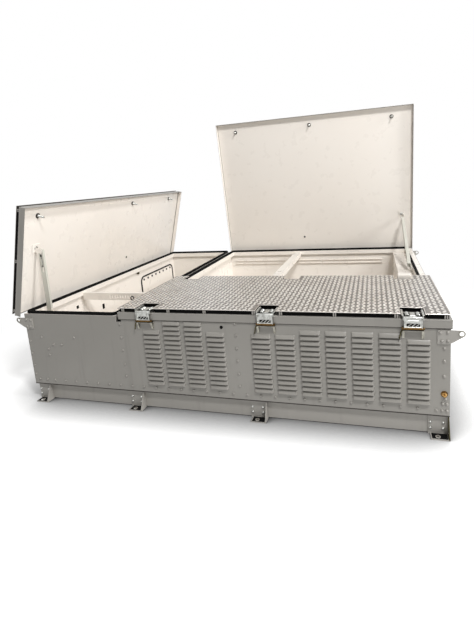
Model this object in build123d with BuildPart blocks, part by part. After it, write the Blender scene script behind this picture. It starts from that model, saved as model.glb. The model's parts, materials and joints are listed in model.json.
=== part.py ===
"""Low equipment enclosure for power gear: louvred steel box, two top-hinged lids, fixed tread cover."""
import math
import os

from build123d import *

# Overall body, measured over the outer faces of the walls
WIDTH = 3000.0
DEPTH = 2500.0
RIM_Z = 704.0            # top of the walls and of the rims that carry the seals
FLOOR_Z = 137.0          # underside of the floor plate and of the walls
WALL_T = 3.0
FLOOR_T = 3.0

# Where the fixed middle lines stand, from the left wall and from the front wall
DIVIDER_FROM_LEFT = 825.0
BEAM_FROM_FRONT = 952.0

# Rims: an upside-down channel round each opening, with a seal on top
RIM_W = 28.0
RIM_RIGHT_W = 72.0
RIM_H = 44.0
VALLEY_W = 44.0
VALLEY_T = 3.0
SEAL_W = 16.0
SEAL_H = 22.5
SEAL_INSET = 6.0
SEAL_CHAMFER = 4.0

# Lids and the fixed cover: a pan with skirts, under a tread plate on tabs
LID_CLEARANCE = 5.0
PAN_T = 2.5
SKIRT_H = 50.0
TREAD_T = 4.5
TREAD_GAP = 26.0
LID_GAP = 14.0
LEFT_LID_OVERHANG = 37.5  # how far its front edge stands out past the cover's
TAB_W = 30.0
TAB_T = 3.0
TAB_PAIR_GAP = 12.0
TAB_EDGE = 20.0
COVER_TABS_FROM_LEFT = (870.0, 1224.0, 1491.0, 1832.0, 2011.0, 2348.0, 2705.0, 2975.0)
LEFT_TABS_FROM_HINGE = (20.0, 415.0, 800.0)
REAR_TABS_FROM_HINGE = (20.0, 520.0, 1020.0, 1530.0)

# Hinges
PIN_OFFSET = 12.0
PIN_ABOVE_RIM = 1.0
KNUCKLE_R = 7.0
PIN_R = 3.0
HINGE_LENGTH = 180.0
HINGE_LEAF_T = 4.0
HINGE_LEAF_H = 44.0
HINGE_PLAY = 1.0
HINGE_EDGE = 220.0
HINGES_PER_LID = 4
LEFT_LID_ANGLE = 75.4
REAR_LID_ANGLE = 83.1

# Louvres in the front wall
LOUVRE_L = 131.5
LOUVRE_H = 24.0
LOUVRE_OUT = 11.0
LOUVRE_T = 2.0
LOUVRE_LIP_SHARE = 0.25  # height of the outer lip over the height of the hood
LOUVRE_TAPER = 12.0
LOUVRE_ROW = 34.5
LOUVRE_COLUMN = 159.3
LOUVRE_Z = 205.0
LOUVRE_GROUPS = (
    (1012.0, (12, 14, 14, 12)),
    (1806.0, (12, 12, 13, 13, 13, 13, 12)),
)

# Base frame and feet
RAIL_INSET = 25.0
RAIL_T = 5.0
RAIL_FLANGE = 45.0
FOOT_T = 6.0
FOOT_PLATE_LEFT = 52.0
FOOT_PAD_LEFT = 40.0
FOOT_RIGHT = 64.0
FOOT_PLATE_DROP = 12.0
FOOT_GUSSET_TOP = 12.0
FOOT_OUT = 70.0
FOOT_HOLE_R = 11.0
FOOT_INSET = 65.0
FOOT_HOLE_OUT = 20.0
MID_FEET_FROM_LEFT = (888.0, 1815.0)

# Lifting lugs
LUG_T = 6.0
LUG_ROOT = 72.0
LUG_H = 84.0
LUG_DROP = 32.0
LUG_OUT = 56.0
LUG_HOLE_R = 13.0
LUG_EYE_R = 20.0
LUG_NOSE = 37.4
LUG_NOSE_OUT = 10.0
LUG_HEEL = 12.0

# Draw latches on the front edge of the fixed cover
LATCH_FROM_LEFT = (1042.0, 1914.0, 2796.0)
LATCH_NAMES = ("left", "middle", "right")
LATCH_W = 104.0
LATCH_NOTCH_W = 138.0
NOTCH_DEPTH = 118.0
REAR_NOTCH_FROM_LEFT = (1023.0, 1920.0, 2802.0)
CUP_T = 3.0
CUP_DEPTH = 96.0
CUP_H = 24.0
LATCH_PIN_R = 5.0
LATCH_PIN_OUT = 11.0
LATCH_PIN_UP = 12.0
LATCH_PLAY = 0.5
LEVER_T = 3.0
LEVER_DROP = 64.0
LEVER_BARREL_R = 8.0
LEVER_SIDE = 9.0
LATCH_BAR_R = 6.0
LATCH_BAR_L = 126.0
KEEPER_W = 122.0
KEEPER_H = 54.0
KEEPER_T = 4.0
KEEPER_OUT = 22.0
KEEPER_LEG_W = 14.0
KEEPER_DROP = 14.0

# Studs on the lids, measured from the hinge line and from the left or front
STUD_R = 6.0
STUD_L = 58.0
STUD_RING_R = 15.0
LEFT_STUDS_FROM_FRONT = (132.0, 1441.0, 2258.0)
LEFT_STUD_FROM_EDGE = 82.0
REAR_STUD_FROM_EDGE = 101.0
REAR_STUDS_FROM_LEFT = (1050.0, 1916.0, 2791.0)

# Stays
STAY_W = 38.0
STAY_T = 4.0
STAY_PIN_R = 6.0
STAY_PIN_DROP = 48.0
STAY_SLOT_W = 14.0
STAY_PLAY = 1.0
LEFT_STAY_FROM_FRONT = 125.0
LEFT_STAY_FOOT = (126.0, 662.0)
LEFT_STAY_FROM_HINGE = 482.0
BRACKET_L = 54.0
BRACKET_W = 30.0
BRACKET_T = 3.0
STAY_EYE_R = 18.0
REAR_STAY_FROM_LEFT = 2910.0
REAR_STAY_FOOT = (1500.0, 690.0)
REAR_STAY_FROM_HINGE = 385.0

# Inside
PARTITION_T = 3.0
CROSS_BEAM_FROM_LEFT = 1698.0
CROSS_BEAM_W = 75.0
CROSS_BEAM_H = 50.0
CROSS_BEAM_T = 3.0
CROSS_BEAM_DROP = 14.0
SHELF_FROM_FRONT = 640.0
SHELF_H = 64.0
SHELF_T = 3.0
SHELF_FLANGE = 40.0
SHELF_DROP = 18.0
SHELF_SLOTS = 10
SHELF_SLOT_PITCH = 26.0
SHELF_SLOT_W = 8.0
SHELF_SLOT_H = 24.0
SHELF_SLOT_FROM_LEFT = 430.0
WALL_RAIL_Z = 570.0
WALL_RAIL_H = 41.0
WALL_RAIL_DEPTH = 21.0
WALL_RAIL_T = 2.5
WALL_RAIL_SPANS = ((890.0, 1975.0), (1992.0, 2675.0))
DUCT_FROM_LEFT = 2798.0
GLAND_FRONT = 1660.0
GLAND_REAR = 2430.0
GLAND_BOTTOM = 235.0
GLAND_TOP = 575.0
GLAND_R = 60.0
GLAND_T = 3.0
GLAND_SEAL_W = 7.0
GLAND_SEAL_T = 5.0
GLAND_HOLE_R = 9.0
GLAND_HOLES = 8
GLAND_HOLE_DROP = 36.0

# Earth stud
EARTH_FROM_LEFT = 2969.0
EARTH_Z = 275.0
EARTH_R = 12.0
EARTH_OUT = 30.0
EARTH_NUT_T = 10.0
EARTH_STUD_R = 6.0

# Lines worked out from the values above; the origin is on the ground under the middle of the body
LEFT_X = -WIDTH / 2
RIGHT_X = WIDTH / 2
FRONT_Y = -DEPTH / 2
REAR_Y = DEPTH / 2
DIVIDER_X = LEFT_X + DIVIDER_FROM_LEFT
BEAM_Y = FRONT_Y + BEAM_FROM_FRONT
RIM_BOTTOM = RIM_Z - RIM_H
SEAL_TOP = RIM_Z + SEAL_H
PAN_BOTTOM = SEAL_TOP + LID_CLEARANCE
PAN_TOP = PAN_BOTTOM + PAN_T
SKIRT_BOTTOM = PAN_TOP - SKIRT_H
TREAD_BOTTOM = PAN_TOP + TREAD_GAP
SKIRT_OUT = LID_CLEARANCE + PAN_T
HINGE_Z = RIM_Z + PIN_ABOVE_RIM
LEFT_HINGE_X = LEFT_X - PIN_OFFSET
REAR_HINGE_Y = REAR_Y + PIN_OFFSET
RAIL_TOP = FLOOR_Z
FLOOR_TOP = FLOOR_Z + FLOOR_T

os.makedirs("parts", exist_ok=True)


def write(name, part):
    """Label one finished piece and write it as parts/NAME.step."""
    part.label = name
    export_step(part, f"parts/{name}.step")


def middle(low, high):
    """Return the middle of two coordinates."""
    return (low + high) / 2


def add_block(x, y, z, mode=Mode.ADD):
    """Add a box to the current part from its (low, high) pair on each axis."""
    with Locations((middle(*x), middle(*y), middle(*z))):
        Box(x[1] - x[0], y[1] - y[0], z[1] - z[0], mode=mode)


def draw_rectangle(x, y, mode=Mode.ADD):
    """Draw a rectangle in the current sketch from its (low, high) pairs."""
    with Locations((middle(*x), middle(*y))):
        Rectangle(x[1] - x[0], y[1] - y[0], mode=mode)


def open_left_lid(part):
    """Turn a piece drawn on the closed left lid to the open rest pose."""
    return part.rotate(Axis((LEFT_HINGE_X, 0, HINGE_Z), (0, 1, 0)), -LEFT_LID_ANGLE)


def open_rear_lid(part):
    """Turn a piece drawn on the closed rear lid to the open rest pose."""
    return part.rotate(Axis((0, REAR_HINGE_Y, HINGE_Z), (1, 0, 0)), -REAR_LID_ANGLE)


# Base frame: four channels, webs outwards
def rail_profile(web_out, inwards):
    """Draw a channel section with its web at web_out and its flanges pointing inwards."""
    tip = web_out + inwards * RAIL_FLANGE
    back = web_out + inwards * RAIL_T
    low, high = sorted((web_out, tip))
    draw_rectangle((low, high), (FOOT_T, RAIL_TOP))
    low, high = sorted((back, tip))
    draw_rectangle((low, high), (FOOT_T + RAIL_T, RAIL_TOP - RAIL_T), mode=Mode.SUBTRACT)


RAIL_X = (LEFT_X + RAIL_INSET, RIGHT_X - RAIL_INSET)
RAIL_Y = (FRONT_Y + RAIL_INSET, REAR_Y - RAIL_INSET)

with BuildPart() as front_base_rail:
    with BuildSketch(Plane.YZ.offset(RAIL_X[0])):
        rail_profile(RAIL_Y[0], 1)
    extrude(amount=RAIL_X[1] - RAIL_X[0])
write("front_base_rail", front_base_rail.part)

with BuildPart() as rear_base_rail:
    with BuildSketch(Plane.YZ.offset(RAIL_X[0])):
        rail_profile(RAIL_Y[1], -1)
    extrude(amount=RAIL_X[1] - RAIL_X[0])
write("rear_base_rail", rear_base_rail.part)

END_RAIL_LENGTH = RAIL_Y[1] - RAIL_Y[0] - 2 * RAIL_FLANGE
END_RAIL_PLANE = Plane.XZ.offset(-(RAIL_Y[0] + RAIL_FLANGE))

with BuildPart() as left_base_rail:
    with BuildSketch(END_RAIL_PLANE):
        rail_profile(RAIL_X[0], 1)
    extrude(amount=-END_RAIL_LENGTH)
write("left_base_rail", left_base_rail.part)

with BuildPart() as right_base_rail:
    with BuildSketch(END_RAIL_PLANE):
        rail_profile(RAIL_X[1], -1)
    extrude(amount=-END_RAIL_LENGTH)
write("right_base_rail", right_base_rail.part)


# Feet: an angle bracket with one gusset, its pad flat on the ground with a bolt hole
def foot_shape():
    """Return one foot, its plate in the plane y = 0, pointing to -y, standing on z = 0."""
    plate_top = FLOOR_Z - FOOT_PLATE_DROP
    with BuildPart() as foot:
        with BuildSketch(Plane.XZ.offset(0)):
            draw_rectangle((-FOOT_PLATE_LEFT, FOOT_RIGHT), (0, plate_top))
        extrude(amount=FOOT_T)
        with BuildSketch():
            draw_rectangle((-FOOT_PAD_LEFT, FOOT_RIGHT), (-FOOT_OUT, -FOOT_T))
            with Locations((0, -RAIL_INSET - FOOT_HOLE_OUT)):
                Circle(FOOT_HOLE_R, mode=Mode.SUBTRACT)
        extrude(amount=FOOT_T)
        with BuildSketch(Plane.YZ.offset(FOOT_RIGHT - FOOT_T)):
            with BuildLine():
                Polyline(
                    (-FOOT_T, FOOT_T), (-FOOT_OUT, FOOT_T), (-FOOT_OUT, 2 * FOOT_T),
                    (-FOOT_T - FOOT_GUSSET_TOP, plate_top), (-FOOT_T, plate_top), close=True,
                )
            make_face()
        extrude(amount=FOOT_T)
    return foot.part


FRONT_FEET_X = (
    LEFT_X + FOOT_INSET,
    LEFT_X + MID_FEET_FROM_LEFT[0],
    LEFT_X + MID_FEET_FROM_LEFT[1],
    RIGHT_X - FOOT_INSET,
)
FOOT = foot_shape()

with BuildPart() as front_feet:
    for foot_x in FRONT_FEET_X:
        add(Pos(foot_x, RAIL_Y[0], 0) * FOOT)
write("front_feet", front_feet.part)

with BuildPart() as rear_feet:
    for foot_x in FRONT_FEET_X:
        add(Pos(foot_x, RAIL_Y[1], 0) * Rot(0, 0, 180) * FOOT)
write("rear_feet", rear_feet.part)

# Box: floor plate and four walls
INSIDE_X = (LEFT_X + WALL_T, RIGHT_X - WALL_T)
INSIDE_Y = (FRONT_Y + WALL_T, REAR_Y - WALL_T)
VALLEY_X = (DIVIDER_X - VALLEY_W / 2, DIVIDER_X + VALLEY_W / 2)
VALLEY_Y = (BEAM_Y - VALLEY_W / 2, BEAM_Y + VALLEY_W / 2)

with BuildPart() as floor_plate:
    with BuildSketch(Plane.XY.offset(FLOOR_Z)):
        draw_rectangle(INSIDE_X, INSIDE_Y)
    extrude(amount=FLOOR_T)
write("floor_plate", floor_plate.part)


def louvre_corners():
    """List the lower left outer corner of every louvre as (x, z)."""
    corners = []
    for group_x, counts in LOUVRE_GROUPS:
        for column, rows in enumerate(counts):
            for row in range(rows):
                corners.append((LEFT_X + group_x + column * LOUVRE_COLUMN, LOUVRE_Z + row * LOUVRE_ROW))
    return corners


def louvre_wedge(shrink, mode):
    """Loft one pressed louvre hood between its root on the wall and its outer lip."""
    length = LOUVRE_L - 2 * shrink
    lip = length - 2 * LOUVRE_TAPER
    high = LOUVRE_H - 2 * shrink
    out = LOUVRE_OUT - shrink
    with BuildSketch(Plane.XZ) as root:
        draw_rectangle((-length / 2, length / 2), (0, high))
    with BuildSketch(Plane.XZ.offset(out)) as tip:
        draw_rectangle((-lip / 2, lip / 2), (0, high * LOUVRE_LIP_SHARE))
    loft([root.sketch, tip.sketch], mode=mode)


def louvre_hood():
    """Return one hollow hood with its root in the plane y = 0 and its mouth facing down."""
    with BuildPart() as hood:
        louvre_wedge(0, Mode.ADD)
        louvre_wedge(LOUVRE_T, Mode.SUBTRACT)
    return hood.part


with BuildPart() as front_wall:
    with BuildSketch(Plane.XZ.offset(-FRONT_Y)):
        draw_rectangle((LEFT_X, RIGHT_X), (FLOOR_Z, RIM_Z))
        draw_rectangle(VALLEY_X, (RIM_BOTTOM, RIM_Z), mode=Mode.SUBTRACT)
        for corner_x, corner_z in louvre_corners():
            draw_rectangle(
                (corner_x + LOUVRE_T, corner_x + LOUVRE_L - LOUVRE_T),
                (corner_z, corner_z + LOUVRE_H - 2 * LOUVRE_T),
                mode=Mode.SUBTRACT,
            )
    extrude(amount=-WALL_T)
HOOD = louvre_hood()
HOODS = [
    Pos(corner_x + LOUVRE_L / 2, FRONT_Y, corner_z) * HOOD for corner_x, corner_z in louvre_corners()
]
write("front_wall", Part() + [front_wall.part] + HOODS)

with BuildPart() as rear_wall:
    with BuildSketch(Plane.XZ.offset(-REAR_Y)):
        draw_rectangle((LEFT_X, RIGHT_X), (FLOOR_Z, RIM_Z))
        draw_rectangle(VALLEY_X, (RIM_BOTTOM, RIM_Z), mode=Mode.SUBTRACT)
    extrude(amount=WALL_T)
write("rear_wall", rear_wall.part)

with BuildPart() as left_wall:
    add_block((LEFT_X, INSIDE_X[0]), INSIDE_Y, (FLOOR_Z, RIM_Z))
write("left_wall", left_wall.part)

with BuildPart() as right_wall:
    add_block((INSIDE_X[1], RIGHT_X), INSIDE_Y, (FLOOR_Z, RIM_Z))
    add_block((INSIDE_X[1], RIGHT_X), VALLEY_Y, (RIM_BOTTOM, RIM_Z), mode=Mode.SUBTRACT)
write("right_wall", right_wall.part)

# Middle frame: a valley plate between the rims, with the partition under its long branch
with BuildPart() as valley_plate:
    with BuildSketch(Plane.XY.offset(RIM_BOTTOM)):
        draw_rectangle(VALLEY_X, (FRONT_Y, REAR_Y))
        draw_rectangle((VALLEY_X[1], RIGHT_X), VALLEY_Y)
    extrude(amount=VALLEY_T)
write("valley_plate", valley_plate.part)

with BuildPart() as partition:
    add_block(
        (DIVIDER_X - PARTITION_T / 2, DIVIDER_X + PARTITION_T / 2), INSIDE_Y, (FLOOR_TOP, RIM_BOTTOM)
    )
write("partition", partition.part)


def rim_part(x, y, right_w):
    """Return one rim: a channel ring open downwards, with its right side right_w wide."""
    hole_x = (x[0] + RIM_W, x[1] - right_w)
    hole_y = (y[0] + RIM_W, y[1] - RIM_W)
    with BuildPart() as rim:
        with BuildSketch(Plane.XY.offset(RIM_BOTTOM)):
            draw_rectangle(x, y)
            draw_rectangle(hole_x, hole_y, mode=Mode.SUBTRACT)
        extrude(amount=RIM_H)
        with BuildSketch(Plane.XY.offset(RIM_BOTTOM)):
            draw_rectangle((x[0] + WALL_T, x[1] - WALL_T), (y[0] + WALL_T, y[1] - WALL_T))
            draw_rectangle(
                (hole_x[0] - WALL_T, hole_x[1] + WALL_T),
                (hole_y[0] - WALL_T, hole_y[1] + WALL_T),
                mode=Mode.SUBTRACT,
            )
        extrude(amount=RIM_H - WALL_T, mode=Mode.SUBTRACT)
    return rim.part


def seal_part(x, y, right_w, height):
    """Return the rubber seal that lies on one rim, near its inner edge."""
    inner_x = (x[0] + RIM_W - SEAL_INSET, x[1] - right_w + SEAL_INSET)
    inner_y = (y[0] + RIM_W - SEAL_INSET, y[1] - RIM_W + SEAL_INSET)
    with BuildPart() as seal:
        with BuildSketch(Plane.XY.offset(RIM_Z)):
            draw_rectangle(
                (inner_x[0] - SEAL_W, inner_x[1] + SEAL_W), (inner_y[0] - SEAL_W, inner_y[1] + SEAL_W)
            )
            draw_rectangle(inner_x, inner_y, mode=Mode.SUBTRACT)
        extrude(amount=height)
        outer_edges = seal.edges().group_by(Axis.Z)[-1]
        chamfer(outer_edges, length=SEAL_CHAMFER)
    return seal.part


RINGS = {
    "left": ((INSIDE_X[0], VALLEY_X[0]), INSIDE_Y, RIM_W, SEAL_H),
    "front": ((VALLEY_X[1], INSIDE_X[1]), (INSIDE_Y[0], VALLEY_Y[0]), RIM_RIGHT_W, SEAL_H + LID_CLEARANCE),
    "rear": ((VALLEY_X[1], INSIDE_X[1]), (VALLEY_Y[1], INSIDE_Y[1]), RIM_RIGHT_W, SEAL_H),
}
for ring_name, (ring_x, ring_y, ring_right, seal_height) in RINGS.items():
    write(f"{ring_name}_rim", rim_part(ring_x, ring_y, ring_right))
    write(f"{ring_name}_seal", seal_part(ring_x, ring_y, ring_right, seal_height))

# Lid and cover outlines, closed: (low, high) over the skirts
LEFT_LID_X = (LEFT_HINGE_X - KNUCKLE_R, DIVIDER_X - LID_GAP / 2)
LEFT_TREAD_Y = (FRONT_Y - LEFT_LID_OVERHANG, REAR_Y)
LEFT_LID_Y = (LEFT_TREAD_Y[0] - SKIRT_OUT, LEFT_TREAD_Y[1] + SKIRT_OUT)
COVER_X = (DIVIDER_X + LID_GAP / 2, RIGHT_X + SKIRT_OUT)
COVER_Y = (FRONT_Y - SKIRT_OUT, BEAM_Y - LID_GAP / 2)
REAR_LID_X = COVER_X
REAR_LID_Y = (BEAM_Y + LID_GAP / 2, REAR_HINGE_Y + KNUCKLE_R)


def pan_part(x, y, open_sides):
    """Return a pan: a top sheet with skirts on every side that isn't in open_sides."""
    inner_x = (x[0] + ("left" not in open_sides) * PAN_T, x[1] - PAN_T)
    inner_y = (y[0] + PAN_T, y[1] - ("rear" not in open_sides) * PAN_T)
    with BuildPart() as pan:
        add_block(x, y, (SKIRT_BOTTOM, PAN_TOP))
        add_block(inner_x, inner_y, (SKIRT_BOTTOM, PAN_BOTTOM), mode=Mode.SUBTRACT)
    return pan.part


def tread_part(x, y, front_notches, rear_notches):
    """Return a tread plate with rectangular notches in its front and rear edges."""
    half = LATCH_NOTCH_W / 2
    with BuildPart() as tread:
        with BuildSketch(Plane.XY.offset(TREAD_BOTTOM)):
            draw_rectangle(x, y)
            for places, notch_y in (
                (front_notches, (y[0], y[0] + NOTCH_DEPTH)),
                (rear_notches, (y[1] - NOTCH_DEPTH, y[1])),
            ):
                for notch_x in places:
                    draw_rectangle((notch_x - half, notch_x + half), notch_y, mode=Mode.SUBTRACT)
        extrude(amount=TREAD_T)
    return tread.part


def tab_pair_part(places, along_x):
    """Return pairs of upright tabs between pan and tread plate at each (x, y)."""
    size = (TAB_T, TAB_W) if along_x else (TAB_W, TAB_T)
    with BuildPart() as tabs:
        for place_x, place_y in places:
            for side in (-0.5, 0.5):
                shift = side * TAB_PAIR_GAP
                tab_x = place_x + shift * along_x
                tab_y = place_y + shift * (not along_x)
                add_block(
                    (tab_x - size[0] / 2, tab_x + size[0] / 2),
                    (tab_y - size[1] / 2, tab_y + size[1] / 2),
                    (PAN_TOP, TREAD_BOTTOM),
                )
    return tabs.part


def stud_part(places):
    """Return eye studs that hang from the pan at each (x, y)."""
    with BuildPart() as studs:
        for place_x, place_y in places:
            with BuildSketch(Plane.XY.offset(PAN_BOTTOM)):
                with Locations((place_x, place_y)):
                    Circle(STUD_RING_R)
            extrude(amount=-STUD_R)
            with BuildSketch(Plane.XY.offset(PAN_BOTTOM - STUD_R)):
                with Locations((place_x, place_y)):
                    Circle(STUD_R)
            extrude(amount=STUD_R - STUD_L)
    return studs.part


LATCHES_X = [LEFT_X + place for place in LATCH_FROM_LEFT]
REAR_NOTCHES_X = [LEFT_X + place for place in REAR_NOTCH_FROM_LEFT]

# Fixed cover over the front right opening
write("front_cover", pan_part(COVER_X, COVER_Y, ()))
write(
    "front_tread_plate",
    tread_part((COVER_X[0], RIGHT_X), (FRONT_Y, COVER_Y[1]), LATCHES_X, REAR_NOTCHES_X),
)
cover_tabs = [(LEFT_X + place, FRONT_Y + TAB_EDGE) for place in COVER_TABS_FROM_LEFT]
cover_tabs += [(LEFT_X + place, COVER_Y[1] - TAB_EDGE) for place in COVER_TABS_FROM_LEFT]
write("front_cover_tabs", tab_pair_part(cover_tabs, True))

# Left lid, hinged on the left wall
write("left_lid", open_left_lid(pan_part(LEFT_LID_X, LEFT_LID_Y, ("left",))))
write("left_lid_tread_plate", open_left_lid(tread_part(LEFT_LID_X, LEFT_TREAD_Y, (), ())))
left_tabs = [
    (LEFT_HINGE_X + reach, side_y)
    for reach in LEFT_TABS_FROM_HINGE
    for side_y in (LEFT_TREAD_Y[0] + TAB_EDGE, LEFT_TREAD_Y[1] - TAB_EDGE)
]
write("left_lid_tabs", open_left_lid(tab_pair_part(left_tabs, True)))
left_studs = [(LEFT_LID_X[1] - LEFT_STUD_FROM_EDGE, FRONT_Y + place) for place in LEFT_STUDS_FROM_FRONT]
write("left_lid_studs", open_left_lid(stud_part(left_studs)))

# Rear lid, hinged on the rear wall
write("rear_lid", open_rear_lid(pan_part(REAR_LID_X, REAR_LID_Y, ("rear",))))
write(
    "rear_lid_tread_plate",
    open_rear_lid(tread_part((REAR_LID_X[0], RIGHT_X), REAR_LID_Y, (), ())),
)
rear_tabs = [
    (side_x, REAR_HINGE_Y - reach)
    for reach in REAR_TABS_FROM_HINGE
    for side_x in (REAR_LID_X[0] + TAB_EDGE, RIGHT_X - TAB_EDGE)
]
write("rear_lid_tabs", open_rear_lid(tab_pair_part(rear_tabs, False)))
rear_studs = [(LEFT_X + place, REAR_LID_Y[0] + REAR_STUD_FROM_EDGE) for place in REAR_STUDS_FROM_LEFT]
write("rear_lid_studs", open_rear_lid(stud_part(rear_studs)))


# Hinges: one fixed middle knuckle with its pin, and two lid knuckles
def fixed_hinge():
    """Return the fixed half, its axis along x at the origin, the wall at y = -PIN_OFFSET."""
    third = HINGE_LENGTH / 3
    with BuildPart() as half:
        with BuildSketch(Plane.YZ.offset(-third / 2)):
            Circle(KNUCKLE_R)
            draw_rectangle((-PIN_OFFSET, 0), (-KNUCKLE_R, 0))
        extrude(amount=third)
        with BuildSketch(Plane.YZ.offset(-HINGE_LENGTH / 2)):
            Circle(PIN_R)
        extrude(amount=HINGE_LENGTH)
        with BuildSketch(Plane.YZ.offset(-HINGE_LENGTH / 2)):
            draw_rectangle((-PIN_OFFSET, HINGE_LEAF_T - PIN_OFFSET), (-HINGE_LEAF_H, -KNUCKLE_R / 2))
        extrude(amount=HINGE_LENGTH)
    return half.part


def lid_hinge():
    """Return the moving half on the closed lid: two knuckles on a short leaf under the pan."""
    third = HINGE_LENGTH / 3
    leaf_top = PAN_BOTTOM - HINGE_Z
    with BuildPart() as half:
        for side in (-1, 1):
            start = side * (third / 2 + HINGE_PLAY) if side > 0 else -HINGE_LENGTH / 2
            with BuildSketch(Plane.YZ.offset(start)):
                Circle(KNUCKLE_R)
                draw_rectangle((KNUCKLE_R - HINGE_LEAF_T, KNUCKLE_R), (0, leaf_top))
                Circle(PIN_R + HINGE_PLAY / 2, mode=Mode.SUBTRACT)
            extrude(amount=third - HINGE_PLAY)
    return half.part


FIXED_HINGE = fixed_hinge()
LID_HINGE = lid_hinge()


def spread(low, high, count):
    """Return count even places between low and high, both ends among them."""
    step = (high - low) / (count - 1)
    return [low + index * step for index in range(count)]


left_hinge_places = [
    Pos(LEFT_HINGE_X, place, HINGE_Z) * Rot(0, 0, 90)
    for place in spread(FRONT_Y + HINGE_EDGE, REAR_Y - HINGE_EDGE, HINGES_PER_LID)
]
rear_hinge_places = [
    Pos(place, REAR_HINGE_Y, HINGE_Z)
    for place in spread(REAR_LID_X[0] + HINGE_EDGE, RIGHT_X - HINGE_EDGE, HINGES_PER_LID)
]
write("left_hinges", Part() + [place * FIXED_HINGE for place in left_hinge_places])
write("left_lid_hinges", open_left_lid(Part() + [place * LID_HINGE for place in left_hinge_places]))
write("rear_hinges", Part() + [place * FIXED_HINGE for place in rear_hinge_places])
write("rear_lid_hinges", open_rear_lid(Part() + [place * LID_HINGE for place in rear_hinge_places]))


# Stays: a slotted flat arm between each lid and the box
def turned(x, z, angle):
    """Turn the point (x, z) about the origin by angle degrees, counter-clockwise."""
    c, s = math.cos(math.radians(angle)), math.sin(math.radians(angle))
    return x * c - z * s, x * s + z * c


def arm_profile(length, slot):
    """Draw an arm from the origin along +x with a pivot hole and a (start, end) slot."""
    with Locations((length / 2, 0)):
        SlotOverall(length + STAY_W, STAY_W)
    Circle(STAY_PIN_R + STAY_PLAY / 2, mode=Mode.SUBTRACT)
    with Locations((middle(*slot), 0)):
        SlotOverall(slot[1] - slot[0] + STAY_SLOT_W, STAY_SLOT_W, mode=Mode.SUBTRACT)


PIN_UNDER_PAN = PAN_BOTTOM - HINGE_Z - STAY_PIN_DROP
left_open = turned(LEFT_STAY_FROM_HINGE, PIN_UNDER_PAN, LEFT_LID_ANGLE)
LEFT_STAY_TOP = (LEFT_HINGE_X + left_open[0], HINGE_Z + left_open[1])
LEFT_STAY_ROOT = (LEFT_X + LEFT_STAY_FOOT[0], LEFT_STAY_FOOT[1])
LEFT_STAY_CLOSED = (LEFT_HINGE_X + LEFT_STAY_FROM_HINGE, HINGE_Z + PIN_UNDER_PAN)
LEFT_STAY_LENGTH = math.dist(LEFT_STAY_TOP, LEFT_STAY_ROOT)
LEFT_STAY_SHORT = math.dist(LEFT_STAY_CLOSED, LEFT_STAY_ROOT)
LEFT_STAY_Y = FRONT_Y + LEFT_STAY_FROM_FRONT
with BuildPart() as left_stay:
    with BuildSketch(
        Plane(
            origin=(LEFT_STAY_ROOT[0], LEFT_STAY_Y, LEFT_STAY_ROOT[1]),
            x_dir=(LEFT_STAY_TOP[0] - LEFT_STAY_ROOT[0], 0, LEFT_STAY_TOP[1] - LEFT_STAY_ROOT[1]),
            z_dir=(0, -1, 0),
        )
    ):
        arm_profile(LEFT_STAY_LENGTH, (LEFT_STAY_SHORT, LEFT_STAY_LENGTH))
    extrude(amount=STAY_T)
write("left_stay", left_stay.part)

rear_open = turned(REAR_STAY_FROM_HINGE, PIN_UNDER_PAN, REAR_LID_ANGLE)
REAR_STAY_TOP = (REAR_HINGE_Y - rear_open[0], HINGE_Z + rear_open[1])
REAR_STAY_ROOT = (FRONT_Y + REAR_STAY_FOOT[0], REAR_STAY_FOOT[1])
REAR_STAY_CLOSED = (REAR_HINGE_Y - REAR_STAY_FROM_HINGE, HINGE_Z + PIN_UNDER_PAN)
REAR_STAY_LENGTH = math.dist(REAR_STAY_TOP, REAR_STAY_ROOT)
REAR_STAY_SHORT = math.dist(REAR_STAY_CLOSED, REAR_STAY_ROOT)
REAR_STAY_X = LEFT_X + REAR_STAY_FROM_LEFT
with BuildPart() as rear_stay:
    with BuildSketch(
        Plane(
            origin=(REAR_STAY_X, REAR_STAY_TOP[0], REAR_STAY_TOP[1]),
            x_dir=(0, REAR_STAY_ROOT[0] - REAR_STAY_TOP[0], REAR_STAY_ROOT[1] - REAR_STAY_TOP[1]),
            z_dir=(1, 0, 0),
        )
    ):
        arm_profile(REAR_STAY_LENGTH, (REAR_STAY_SHORT, REAR_STAY_LENGTH))
    extrude(amount=STAY_T)
write("rear_stay", rear_stay.part)

# Left stay: pinned to the box, its sliding pin on the lid stops just short of the arm
LEFT_CHEEK_Y = LEFT_STAY_Y + STAY_PLAY
with BuildPart() as left_stay_foot:
    with BuildSketch(Plane.XZ.offset(-LEFT_CHEEK_Y)):
        with Locations(LEFT_STAY_ROOT):
            Circle(STAY_EYE_R)
        draw_rectangle(
            (INSIDE_X[0] + RIM_W, LEFT_STAY_ROOT[0]),
            (LEFT_STAY_ROOT[1] - STAY_EYE_R, LEFT_STAY_ROOT[1] + STAY_EYE_R),
        )
    extrude(amount=-STAY_T)
    with BuildSketch(Plane.XZ.offset(-LEFT_CHEEK_Y)):
        with Locations(LEFT_STAY_ROOT):
            Circle(STAY_PIN_R)
    extrude(amount=STAY_T + 2 * STAY_PLAY)
write("left_stay_foot", left_stay_foot.part)

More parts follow.
